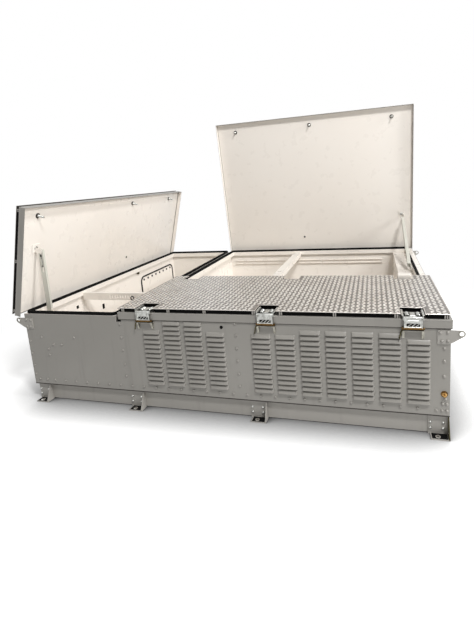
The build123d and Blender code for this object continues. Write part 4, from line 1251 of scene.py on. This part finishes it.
@dataclass
class Feet:
    """Black grip plates on the pads of the feet, bright rims in their holes and a bright disc on the last
    gusset: the rims and the disc are painted light where the lit floor shows through holes.
    """

    finishes: Finishes
    pad_x: Span = (-0.034, 0.052)
    pad_y: Span = (-1.290, -1.236)
    hole_y: float = -1.270
    hole_r: float = 0.0112
    thickness: float = 0.0018
    pad_top: float = 0.006

    def build(self) -> list[bpy.types.Object]:
        """Lay a punched plate on every pad, and set a bright ring round each hole as painted light."""
        plate = punched(self.pad_x, self.pad_y, self.thickness, (0.0, self.hole_y), self.hole_r + 0.002)
        outer, inner, top = self.thickness, -0.0040, self.thickness + 0.0010
        ring = border(circle(self.hole_r, 20), ((inner, 0.0), (0.0045, outer), (0.0040, top), (inner, top)))
        ring = Surface(ring.points + [0.0, self.hole_y, 0.0], ring.faces)
        frames = np.zeros((len(FEET_X), 3, 4))
        frames[:, :, :3] = np.eye(3)
        frames[:, 0, 3], frames[:, 2, 3] = FEET_X, self.pad_top - 0.0001
        rear = frames.copy()
        rear[:, 0, 0] = rear[:, 1, 1] = -1.0
        both = np.concatenate([frames, rear])
        # A bright disc on the last gusset paints the light seen through its hole
        gusset = np.array([(FEET_X[-1] + 0.0585, -1.262, 0.028)])
        eye = lathe(((0.0085, 0.0), (0.0085, 0.0012), (0.006, 0.0020)), 14)
        eye = eye.repeated(frames_at(gusset, (-1, 0, 0), (0, 1, 0)))
        pieces = [
            make_piece("foot_grip_plates", plate.repeated(both), self.finishes.pad, smooth=False),
            make_piece("foot_hole_painted_light_rims", ring.repeated(both), self.finishes.lozenge),
            make_piece("foot_gusset_painted_light", eye, self.finishes.lozenge),
        ]
        for piece in pieces:
            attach(piece, Body.BOX.value)
        return pieces


@dataclass
class Studs:
    """Threaded studs under the lids, each on a dark washer with a collar nut."""

    finishes: Finishes
    left: tuple[Span, ...] = ((-0.764, -1.118), (-0.764, 0.191), (-0.764, 1.008))
    rear: tuple[Span, ...] = ((-0.450, -0.190), (0.416, -0.190), (1.291, -0.190))
    radius: float = 0.0085
    length: float = 0.060
    pitch: float = 0.005

    def rod(self) -> Surface:
        """Turn a collar and a thread: r = R or 0.78 R by turns, one turn of the thread to a pitch."""
        turns = np.arange(0.018, self.length - 0.004, self.pitch / 2)
        radii = np.where(np.arange(len(turns)) % 2 == 0, self.radius, 0.78 * self.radius)
        collar = [(0.0135, 0.004), (0.0135, 0.013), (0.0115, 0.0150)]
        return lathe([*collar, *zip(radii, turns), (0.6 * self.radius, self.length)], 10)

    def washer(self) -> Surface:
        """Turn a dished washer."""
        return lathe(((0.0205, -0.0005), (0.0205, 0.0030), (0.0180, 0.0048)), 16)

    def build(self) -> list[bpy.types.Object]:
        """Set the studs of both lids, which stand for the studs of the frame."""
        made = []
        for name, spots, lid, body in (
            ("left", self.left, Lid.LEFT, Body.LEFT_LID), ("rear", self.rear, Lid.REAR, Body.REAR_LID),
        ):
            flat = np.array(spots)
            frames = frames_at(np.column_stack([flat, np.full(len(flat), PAN_BOTTOM)]), (0, 0, -1), (1, 0, 0))
            rod, washer = self.rod().repeated(frames), self.washer().repeated(frames)
            rods = make_piece(f"{name}_lid_stud_rods", rod.opened(lid), self.finishes.zinc)
            rings = make_piece(f"{name}_lid_stud_washers", washer.opened(lid), self.finishes.dark)
            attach(rods, body.value)
            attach(rings, body.value)
            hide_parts(f"{name}_lid_studs")
            made += [rods, rings]
        return made


@dataclass
class Stay:
    """Flanges, slot shade and catch of one slotted stay: a dark pad over the slot paints the shade in it; the
    slotted web is the arm of the frame.
    """

    name: str
    body: Body
    finishes: Finishes
    start: Sequence[float]
    end: Sequence[float]
    across: Sequence[float]
    flange: Span
    clear: Span
    slot_shade: Span
    width: float = 0.038

    def frame(self) -> Array:
        """Return the arm's frame: x along it, z out of its face, its origin on the start pin."""
        start, end = np.array(self.start, float), np.array(self.end, float)
        return frames_at(start[None], self.across, end - start)

    def build(self) -> list[bpy.types.Object]:
        """Stand two flanges along the web, and put a dark pad that paints the slot's shade, and its catch,
        over the slot.
        """
        length = float(np.linalg.norm(np.array(self.end) - np.array(self.start)))
        low, high = self.clear[0], length - self.clear[1]
        half = self.width / 2
        sides = [
            block((low, s * half - 0.0015, self.flange[0]), (high, s * half + 0.0015, self.flange[1]), 0.0006)
            for s in (-1.0, 1.0)
        ]
        frame = self.frame()
        shade_pad = block((self.slot_shade[0], -0.0075, -0.0045), (self.slot_shade[1], 0.0075, 0.0012), 0.0008)
        catch = joined([
            block((self.slot_shade[0] + 0.018, -0.0055, 0.0012), (self.slot_shade[0] + 0.078, 0.0035, 0.0042), 0.0010),
            block((self.slot_shade[0] + 0.004, -0.0010, 0.0012), (self.slot_shade[0] + 0.026, 0.0120, 0.0042), 0.0010),
        ])
        parts = (
            ("flanges", joined(sides), self.finishes.arm),
            ("slot_shade", shade_pad, self.finishes.dark),
            ("catch", catch, self.finishes.zinc),
        )
        made = [
            make_piece(f"{self.name}_{part}", shape.repeated(frame), finish, smooth=False)
            for part, shape, finish in parts
        ]
        for piece in made:
            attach(piece, self.body.value)
        return made


@dataclass
class Latch:
    """One draw latch: folded tray with springs on the cover, lever with its window, pin, lock and bar."""

    name: str
    x: float
    finishes: Finishes
    half: float = 0.055
    pin_y: float = -1.2685
    pin_z: float = 0.746

    def cheek(self, side: int) -> Surface:
        """Fold one cheek: its outline in y and z, thickened along x, with a narrow flange on top."""
        outline = ((-1.2745, 0.7345), (-1.156, 0.7345), (-1.156, 0.7575), (-1.262, 0.7605), (-1.2755, 0.7500))
        flat = plate(outline, 0.003)
        turn = np.array([[0, 0, 1], [1, 0, 0], [0, 1, 0]], float)
        place = np.array([self.x + side * self.half - 0.0015, 0.0, 0.0])
        wall = Surface(flat.points @ turn.T + place, flat.faces)
        near, far = sorted((self.x + side * (self.half - 0.001), self.x + side * (self.half + 0.0085)))
        flange = block((near, -1.264, 0.7590), (far, -1.156, 0.7612), 0.0006)
        return joined([wall, flange])

    def spring(self, x: float) -> Surface:
        """Wind a coil spring along y as turned beads: r = 8.5 mm + 2.5 mm |sin(pi y / 8.5 mm)|."""
        run = np.linspace(0.0, 0.052, 27)
        profile = [(0.0085 + 0.0025 * abs(math.sin(math.pi * value / 0.0085)), value) for value in run]
        return lathe(profile, 12).repeated(frames_at(np.array([(x, -1.236, 0.7475)]), (0, 1, 0), (1, 0, 0)))

    def tray(self) -> list[bpy.types.Object]:
        """Make the fixed half, which stays on the cover."""
        x = self.x
        floor = block((x - self.half, -1.2575, PAN_TOP), (x + self.half, -1.154, PAN_TOP + 0.003), 0.0008)
        rod = lathe(((0.005, 0.0), (0.005, 2 * self.half)), 12)
        pin_end = np.array([(x - self.half, self.pin_y, self.pin_z)])
        rod = rod.repeated(frames_at(pin_end, (1, 0, 0), (0, 1, 0)))
        springs = [self.spring(x + dx) for dx in (-0.031, 0.031)]
        saddle = block((x - 0.016, -1.246, PAN_TOP + 0.003), (x + 0.016, -1.180, 0.7520), 0.0030)
        bright = make_piece(
            f"{self.name}_latch_tray",
            joined([floor, rod, saddle, self.cheek(-1), self.cheek(1), *springs]),
            self.finishes.zinc,
        )
        # A black block at the back of the tray paints the shade inside it
        shade_block = block((x - 0.050, -1.178, PAN_TOP + 0.003), (x + 0.050, -1.158, 0.7400), 0.0010)
        dark = make_piece(f"{self.name}_latch_painted_shade", shade_block, self.finishes.seal, smooth=False)
        for piece in (bright, dark):
            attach(piece, Body.BOX.value)
        return [bright, dark]

    def lever(self) -> list[bpy.types.Object]:
        """Make the moving half: a plate with a window, side flanges, a barrel on its pin and links."""
        x, y = self.x, self.pin_y
        half = 0.0505
        window_x, window_z = (-0.037, 0.037), (0.693, 0.712)
        bars = [
            block((x - half, y - 0.0045, window_z[1]), (x + half, y - 0.0005, 0.7405), 0.0012),
            block((x - half, y - 0.0060, 0.6845), (x + half, y - 0.0005, window_z[0]), 0.0018),
            block((x - half, y - 0.0045, window_z[0]), (x + window_x[0], y - 0.0005, window_z[1]), 0.0004),
            block((x + window_x[1], y - 0.0045, window_z[0]), (x + half, y - 0.0005, window_z[1]), 0.0004),
            block((x - half, y - 0.0120, 0.6860), (x - half + 0.003, y - 0.0020, 0.7380), 0.0008),
            block((x + half - 0.003, y - 0.0120, 0.6860), (x + half, y - 0.0020, 0.7380), 0.0008),
            block((x - 0.030, y - 0.0075, 0.7160), (x + 0.030, y - 0.0040, 0.7330), 0.0016),
        ]
        barrel = lathe(((0.0075, 0.0), (0.0080, 0.001), (0.0080, 2 * half - 0.001), (0.0075, 2 * half)), 14)
        barrel = barrel.repeated(frames_at(np.array([(x - half, y, self.pin_z)]), (1, 0, 0), (0, 1, 0)))
        link = lathe(((0.0022, 0.0), (0.0022, 0.030)), 8)
        links = [
            link.repeated(frames_at(np.array([(x + dx, y - 0.0035, 0.6925)]), (0.75, 0.0, 0.66), (0, 1, 0)))
            for dx in (-0.032, -0.010, 0.012)
        ]
        bright = make_piece(f"{self.name}_latch_plate", joined([*bars, barrel, *links]), self.finishes.zinc)
        # Black plates behind the window and under the bar paint the shade there
        back = joined([
            block((x - 0.041, y + 0.0000, 0.6905), (x + 0.041, y + 0.0012, 0.7140), 0.0004),
            block((x - 0.055, y - 0.0090, 0.6705), (x + 0.055, y + 0.0012, 0.6772), 0.0004),
        ])
        band_part = block((x - 0.058, y - 0.0100, 0.6772), (x + 0.058, y + 0.0012, 0.6870), 0.0010)
        brown = make_piece(f"{self.name}_latch_band", band_part, self.finishes.brass)
        dark = make_piece(f"{self.name}_latch_shade_plates", back, self.finishes.dark, smooth=False)
        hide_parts(f"{self.name}_latch_lever")
        for piece in (bright, dark, brown):
            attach(piece, f"{self.name}_latch")
        return [bright, dark, brown]

    def lock(self) -> bpy.types.Object:
        """Hang the locking pin at the bar's left end: a bent rod of two runs."""
        x = self.x
        path = np.array([
            (x - 0.0500, -1.2690, 0.6720), (x - 0.0600, -1.2700, 0.6690), (x - 0.0665, -1.2705, 0.6600),
            (x - 0.0700, -1.2705, 0.6450), (x - 0.0735, -1.2700, 0.6270), (x - 0.0750, -1.2695, 0.6180),
        ])
        rod = sweep(path, circle(0.0042, 8), (0, 1, 0), False)
        piece = make_piece(f"{self.name}_latch_lock_pin", rod, self.finishes.olive)
        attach(piece, f"{self.name}_latch")
        return piece

    def build(self) -> list[bpy.types.Object]:
        """Make both halves and the locking pin."""
        return [*self.tray(), *self.lever(), self.lock()]


@dataclass
class GlandFrame:
    """Black rubber frame round the gland plate in the left wall, with a row of blind plugs."""

    finishes: Finishes
    y: Span = (0.410, 1.180)
    z: Span = (0.235, 0.575)
    radius: float = 0.060
    face_x: float = -1.494
    plug_z: float = 0.539
    plugs: int = 8

    def build(self) -> list[bpy.types.Object]:
        """Carry a D section round the plate's edge, and plug the holes."""
        flat = rounded_rectangle(self.y, self.z, self.radius, 7)
        path = np.column_stack([np.full(len(flat), self.face_x), flat])
        section = np.array(
            [(0.008, 0.0), (0.0075, 0.005), (0.004, 0.008), (-0.004, 0.008), (-0.0075, 0.005), (-0.008, 0.0)]
        )
        bead = sweep(path, section, (1, 0, 0), closed=True)
        rubber = make_piece("gland_frame_rubber", bead, self.finishes.seal)
        y = np.linspace(self.y[0] + self.radius, self.y[1] - self.radius, self.plugs)
        face, height = np.full(self.plugs, self.face_x - 0.0005), np.full(self.plugs, self.plug_z)
        head = lathe(((0.0125, 0.0), (0.0125, 0.004), (0.0090, 0.007)), 10)
        heads = head.repeated(frames_at(np.column_stack([face, y, height]), (1, 0, 0), (0, 1, 0)))
        plugs = make_piece("gland_blind_plugs", heads, self.finishes.dark)
        for piece in (rubber, plugs):
            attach(piece, Body.BOX.value)
        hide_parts("gland_seal")
        return [rubber, plugs]


@dataclass
class SmallParts:
    """Earth stud, plugs, stay plates, knob, eye, clips, lug rings and the box in the cover's notch."""

    finishes: Finishes

    def ring(self, radius: float, tube: float) -> Surface:
        """Carry a small circle round a larger one in the plane z = 0."""
        around = circle(radius, 24)
        return sweep(np.column_stack([around, np.zeros(24)]), circle(tube, 8), (0, 0, 1), closed=True)

    def earth_stud(self) -> list[bpy.types.Object]:
        """Stack a washer, a hex nut and a thread with a rounded end on the front wall."""
        spot = frames_at(np.array([(1.469, FRONT, 0.275)]), (0, -1, 0), (1, 0, 0))
        washer = lathe(((0.0200, -0.0005), (0.0200, 0.0025), (0.0180, 0.0035)), 20)
        nut = lathe(((0.0140, 0.0030), (0.0140, 0.0115), (0.0115, 0.0135)), 6, 0.3)
        thread = lathe(((0.0062, 0.0130), (0.0062, 0.0285), (0.0040, 0.0298)), 12)
        plate_part = make_piece("earth_stud_washer", washer.repeated(spot), self.finishes.brass)
        stud = make_piece("earth_stud_nut", joined([nut, thread]).repeated(spot), self.finishes.gold)
        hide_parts("earth_stud")
        return [plate_part, stud]

    def dark_plugs(self) -> list[bpy.types.Object]:
        """Press a rubber plug in the front wall and in the skin of each lid."""
        plug = lathe(((0.0115, -0.0005), (0.0110, 0.0025), (0.0070, 0.0035)), 14)
        wall = plug.repeated(frames_at(np.array([(0.105, FRONT, 0.645)]), (0, -1, 0), (1, 0, 0)))
        made = [make_piece("wall_plug", wall, self.finishes.seal)]
        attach(made[0], Body.BOX.value)
        for name, spot, lid, body in (
            ("left_lid_plug", (-1.355, 0.181), Lid.LEFT, Body.LEFT_LID),
            ("rear_lid_plug", (0.282, 1.100), Lid.REAR, Body.REAR_LID),
        ):
            frames = frames_at(np.array([(*spot, PAN_BOTTOM)]), (0, 0, -1), (1, 0, 0))
            piece = make_piece(name, plug.repeated(frames).opened(lid), self.finishes.seal)
            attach(piece, body.value)
            made.append(piece)
        return made

    def stay_plates(self) -> list[bpy.types.Object]:
        """Weld a square plate with a round boss under each lid, where its stay is bolted on."""
        made = []
        for name, x, y, lid, body in (
            ("left", (-1.050, -0.985), (-1.160, -1.085), Lid.LEFT, Body.LEFT_LID),
            ("rear", (1.362, 1.422), (0.835, 0.895), Lid.REAR, Body.REAR_LID),
        ):
            square = block((x[0], y[0], 0.7275), (x[1], y[1], 0.7318), 0.0010)
            disc = lathe(((0.0165, -0.0005), (0.0165, 0.0030), (0.0140, 0.0045)), 18)
            spot = np.array([(sum(x) / 2, sum(y) / 2, 0.7275)])
            disc = disc.repeated(frames_at(spot, (0, 0, -1), (1, 0, 0)))
            square = square.opened(lid)
            made.append(make_piece(f"{name}_lid_stay_plate", square, self.finishes.cream, smooth=False))
            made.append(make_piece(f"{name}_lid_stay_boss", disc.opened(lid), self.finishes.zinc))
            for piece in made[-2:]:
                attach(piece, body.value)
        return made

    def inside(self) -> list[bpy.types.Object]:
        """Set the knob on the left wall, the eye on the cross member, the clips and the notch's box."""
        knob = lathe(((0.009, -0.0005), (0.009, 0.010), (0.016, 0.013), (0.016, 0.022), (0.011, 0.026)), 14)
        knob = knob.repeated(frames_at(np.array([(LEFT + WALL_T, 0.347, 0.646)]), (1, 0, 0), (0, 1, 0)))
        eye_spot = np.array([(-0.948, -0.632, 0.650)])
        eye = self.ring(0.015, 0.0045).repeated(frames_at(eye_spot, (0, -1, 0), (1, 0, 0)))
        clip = joined([
            block((-1.0025, -0.972, 0.6600), (-0.9975, -0.950, 0.7000), 0.0008),
            block((-1.2385, -0.985, 0.6600), (-1.2335, -0.963, 0.6850), 0.0008),
        ])
        x, y, z = (1.262, 1.356), (-0.404, -0.330), (PAN_TOP, 0.789)
        rows = [block((x[0] - 0.001, y[0] - 0.001, h), (x[1] + 0.001, y[1] + 0.001, h + 0.003), 0.0006)
                for h in np.linspace(z[0] + 0.008, z[1] - 0.006, 5)]
        ribs = [block((c, y[0] - 0.001, z[0]), (c + 0.003, y[0] + 0.002, z[1] - 0.001), 0.0006)
                for c in np.linspace(x[0] + 0.008, x[1] - 0.011, 7)]
        box = joined([block((x[0], y[0], z[0]), (x[1], y[1], z[1]), 0.002), *rows, *ribs])
        return [
            make_piece("wall_knob", knob, self.finishes.olive),
            make_piece("cross_member_eye", eye, self.finishes.dark),
            make_piece("cable_clips", clip, self.finishes.dark, smooth=False),
            make_piece("notch_terminal_box", box, self.finishes.plastic, smooth=False),
        ]

    def lug_rings(self) -> bpy.types.Object:
        """Line the eye of every lifting lug with a pale ring on its outer face."""
        spots = np.array([(sx * 1.556, 1.2562, 0.652) for sx in (-1, 1)])
        rings = self.ring(0.0150, 0.0032)
        front = rings.repeated(frames_at(spots * [1, -1, 1], (0, -1, 0), (1, 0, 0)))
        rear = rings.repeated(frames_at(spots, (0, 1, 0), (1, 0, 0)))
        return make_piece("lug_eye_rings", joined([front, rear]), self.finishes.dull)

    def build(self) -> list[bpy.types.Object]:
        """Make all of them; the plugs of the lids ride on the lids."""
        fixed = [*self.earth_stud(), *self.inside(), self.lug_rings()]
        for piece in fixed:
            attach(piece, Body.BOX.value)
        return fixed + self.dark_plugs() + self.stay_plates()


@dataclass
class Stage:
    """Floor, light, world and camera."""

    camera_place: tuple[float, float, float] = (1.0844, -3.6931, 1.5868)
    yaw: float = 16.2219
    pitch: float = -10.2674
    roll: float = -4.0185
    focal_px: float = 414.41
    middle_px: Span = (255.228, 255.330)
    frame_px: tuple[int, int] = (474, 631)
    shadow_reach: Span = (2.3, 3.3)
    floor_lift: float = 0.62
    shade_reach: float = 0.45
    shade_power: float = 2.2
    room_light: float = 0.19
    sensor_mm: float = 36.0

    def camera(self) -> None:
        """Set the camera from the fitted place, angles, focal length and principal point."""
        yaw, pitch, roll = (math.radians(a) for a in (self.yaw, self.pitch, self.roll))
        ahead = np.array([-math.sin(yaw) * math.cos(pitch), math.cos(yaw) * math.cos(pitch), math.sin(pitch)])
        right = np.array([math.cos(yaw), math.sin(yaw), 0.0])
        above = np.cross(right, ahead)
        side = right * math.cos(roll) + above * math.sin(roll)
        top = -right * math.sin(roll) + above * math.cos(roll)
        data = bpy.data.cameras.new("camera")
        data.sensor_fit = "VERTICAL"
        data.sensor_height = self.sensor_mm
        data.lens = self.focal_px * self.sensor_mm / self.frame_px[1]
        data.shift_x = (self.frame_px[0] / 2 - self.middle_px[0]) / self.frame_px[1]
        data.shift_y = (self.middle_px[1] - self.frame_px[1] / 2) / self.frame_px[1]
        data.clip_end = 100.0
        camera = bpy.data.objects.new("camera", data)
        turn = Matrix(np.stack([side, top, -ahead], axis=1).tolist()).to_4x4()
        turn.translation = self.camera_place
        camera.matrix_world = turn
        bpy.context.scene.collection.objects.link(camera)
        bpy.context.scene.camera = camera

    def lamp(
        self, name: str, place: Sequence[float], aim: Sequence[float], size: float, power: float
    ) -> None:
        """Add one square soft box.

        Args:
            name: Name of the lamp.
            place: Where it hangs.
            aim: Point that it faces.
            size: Side of the square in metres.
            power: Power in watts.
        """
        data = bpy.data.lights.new(name, "AREA")
        data.shape, data.size, data.energy = "SQUARE", size, power
        lamp = bpy.data.objects.new(name, data)
        z = np.array(place, float) - np.array(aim, float)
        frame = frames_at(np.array([place], float), z, (1, 0.01, 0))[0]
        turn = Matrix(frame[:, :3].tolist()).to_4x4()
        turn.translation = tuple(place)
        lamp.matrix_world = turn
        bpy.context.scene.collection.objects.link(lamp)

    def world(self) -> None:
        """Light the room evenly, and show plain white to the camera and in reflections."""
        world = bpy.data.worlds.new("studio")
        world.use_nodes = True
        tree = world.node_tree
        tree.nodes.clear()
        seen = seen_share(tree)
        even = {"Color": linear("#FFFDFA"), "Strength": self.room_light}
        room = add_node(tree, "ShaderNodeBackground", even)
        white = add_node(tree, "ShaderNodeBackground", {"Color": (1, 1, 1, 1), "Strength": 1.0})
        both = add_node(tree, "ShaderNodeMixShader", {0: seen, 1: room.outputs[0], 2: white.outputs[0]})
        add_node(tree, "ShaderNodeOutputWorld", {"Surface": both.outputs[0]})
        bpy.context.scene.world = world

    def floor(self) -> None:
        """Lay a plain floor that shades under the cabinet and runs to white away from it."""
        material, tree = new_tree("studio_floor")
        place = add_node(tree, "ShaderNodeTexCoord")
        centred = add_node(
            tree, "ShaderNodeMapping", {"Vector": place.outputs["Object"], "Scale": (1.0, 1.15, 0.0)}
        )
        reach = add_node(tree, "ShaderNodeVectorMath", {0: centred.outputs["Vector"]}, operation="LENGTH")
        low, high = self.shadow_reach
        span = {"From Min": low, "From Max": high, "To Min": 0.0, "To Max": 1.0}
        far = add_node(tree, "ShaderNodeMapRange", {"Value": reach.outputs["Value"], **span})
        seen = seen_share(tree)
        matt = add_node(tree, "ShaderNodeBsdfDiffuse", {"Color": linear("#F4F4F4")})
        lift = add_node(tree, "ShaderNodeEmission", {"Color": (1, 1, 1, 1), "Strength": self.floor_lift})
        white = add_node(tree, "ShaderNodeEmission", {"Color": (1, 1, 1, 1), "Strength": 1.0})
        near = add_node(tree, "ShaderNodeAddShader", {0: matt.outputs[0], 1: lift.outputs[0]})
        sky = add_node(tree, "ShaderNodeAmbientOcclusion", {"Distance": self.shade_reach}, samples=16)
        open_share = add_node(
            tree, "ShaderNodeMath", {0: sky.outputs["AO"], 1: self.shade_power}, operation="POWER"
        )
        black = add_node(tree, "ShaderNodeEmission", {"Color": (0.02, 0.02, 0.02, 1), "Strength": 1.0})
        near = add_node(
            tree, "ShaderNodeMixShader", {0: open_share.outputs[0], 1: black.outputs[0], 2: near.outputs[0]}
        )
        shown = add_node(
            tree, "ShaderNodeMixShader", {0: far.outputs["Result"], 1: near.outputs[0], 2: white.outputs[0]}
        )
        both = add_node(tree, "ShaderNodeMixShader", {0: seen, 1: matt.outputs[0], 2: shown.outputs[0]})
        add_node(tree, "ShaderNodeOutputMaterial", {"Surface": both.outputs[0]})
        corners = np.array([[(-30, -30, 0), (-30, 30, 0)], [(30, -30, 0), (30, 30, 0)]], float)
        piece = make_piece("studio_floor", Surface.from_grid(corners), material, smooth=False)

    def build(self) -> None:
        """Set up the whole stage."""
        bpy.context.scene.view_settings.view_transform = "Standard"
        self.camera()
        self.world()
        self.floor()
        self.lamp("side", (8.5, -1.2, 5.0), (0.0, 0.0, 0.5), 2.4, 570.0)
        self.lamp("front", (3.4, -4.4, 7.2), (-0.3, 0.0, 0.5), 1.2, 450.0)


def cover_notches() -> tuple[tuple[Span, Span], ...]:
    """Return the notches in the front and rear edges of the cover's tread plate."""
    front = (COVER_Y[0], COVER_Y[0] + NOTCH_DEPTH)
    rear = (COVER_Y[1] - NOTCH_DEPTH, COVER_Y[1])
    places = [(x, front) for x in LATCHES_X] + [(x, rear) for x in REAR_NOTCHES_X]
    return tuple(((x - NOTCH_HALF, x + NOTCH_HALF), y) for x, y in places)


def main() -> None:
    """Build the looks in order and report each piece."""
    logging.basicConfig(level=logging.INFO, format="%(message)s")
    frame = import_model()
    finishes = Finishes()
    Stage().build()
    Paintwork(finishes).dress(frame["nodes"])
    pieces = LouvredWall(finishes).build()
    lids = (
        ("cover", Body.BOX, Lid.NONE, COVER_X, COVER_Y,
         (COVER_X[0], RIGHT + SKIRT_OUT), (FRONT - SKIRT_OUT, COVER_Y[1])),
        ("left", Body.LEFT_LID, Lid.LEFT, LEFT_LID_X, LEFT_LID_Y,
         LEFT_LID_X, (LEFT_LID_Y[0] - SKIRT_OUT, LEFT_LID_Y[1] + SKIRT_OUT)),
        ("rear", Body.REAR_LID, Lid.REAR, REAR_LID_X, REAR_LID_Y,
         (REAR_LID_X[0], RIGHT + SKIRT_OUT), REAR_LID_Y),
    )
    for name, body, lid, x, y, pan_x, pan_y in lids:
        front, rear = (LATCHES_X, REAR_NOTCHES_X) if lid is Lid.NONE else ((), ())
        cut = cover_notches() if lid is Lid.NONE else ()
        pieces.append(TreadLugs(f"{name}_tread_lugs", body, lid, finishes.lozenge, x, y, cut).build())
        tabs = {"cover": COVER_TABS_X, "left": LEFT_TABS_X, "rear": ()}[name]
        pieces += LidEdge(name, body, lid, finishes, x, y, pan_x, pan_y, front, rear, tabs).build()
    inside_x, inside_y = (LEFT + WALL_T, RIGHT - WALL_T), (FRONT + WALL_T, REAR - WALL_T)
    valley_x = (DIVIDER_X - VALLEY_HALF, DIVIDER_X + VALLEY_HALF)
    valley_y = (BEAM_Y - VALLEY_HALF, BEAM_Y + VALLEY_HALF)
    seals = (
        ("left_seal", (inside_x[0], valley_x[0]), inside_y, 0.028, 0.0225),
        ("front_seal", (valley_x[1], inside_x[1]), (inside_y[0], valley_y[0]), 0.072, 0.0275),
        ("rear_seal", (valley_x[1], inside_x[1]), (valley_y[1], inside_y[1]), 0.072, 0.0225),
    )
    for name, ring_x, ring_y, right_rim, height in seals:
        seal = RimSeal(f"{name}_foam", finishes.seal, ring_x, ring_y, right_rim, height).build()
        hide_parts(name)
        pieces.append(seal)
    pieces += ShadeStrips(finishes).build()
    pieces += Rivets(finishes).build()
    pieces += Feet(finishes).build()
    pieces += Studs(finishes).build()
    pieces += GlandFrame(finishes).build()
    pieces += SmallParts(finishes).build()
    for name, x in zip(("left", "middle", "right"), LATCHES_X):
        pieces += Latch(name, x, finishes).build()
    pieces += Stay(
        "left_stay", Body.LEFT_STAY, finishes, (-1.374, -1.129, 0.662), (-1.3697, -1.129, 1.166),
        across=(0, -1, 0), flange=(-0.018, 0.0), clear=(0.048, -0.012), slot_shade=(0.380, 0.478),
    ).build()
    pieces += Stay(
        "rear_stay", Body.REAR_STAY, finishes, (1.410, 1.1944, 1.0846), (1.410, 0.250, 0.690),
        across=(-1, 0, 0), flange=(0.0, 0.026), clear=(0.062, 0.060), slot_shade=(0.70, 0.82),
    ).build()
    for piece in pieces:
        LOG.info("piece %s: %d faces", piece.name, len(piece.data.polygons))


if __name__ == "__main__":
    main()
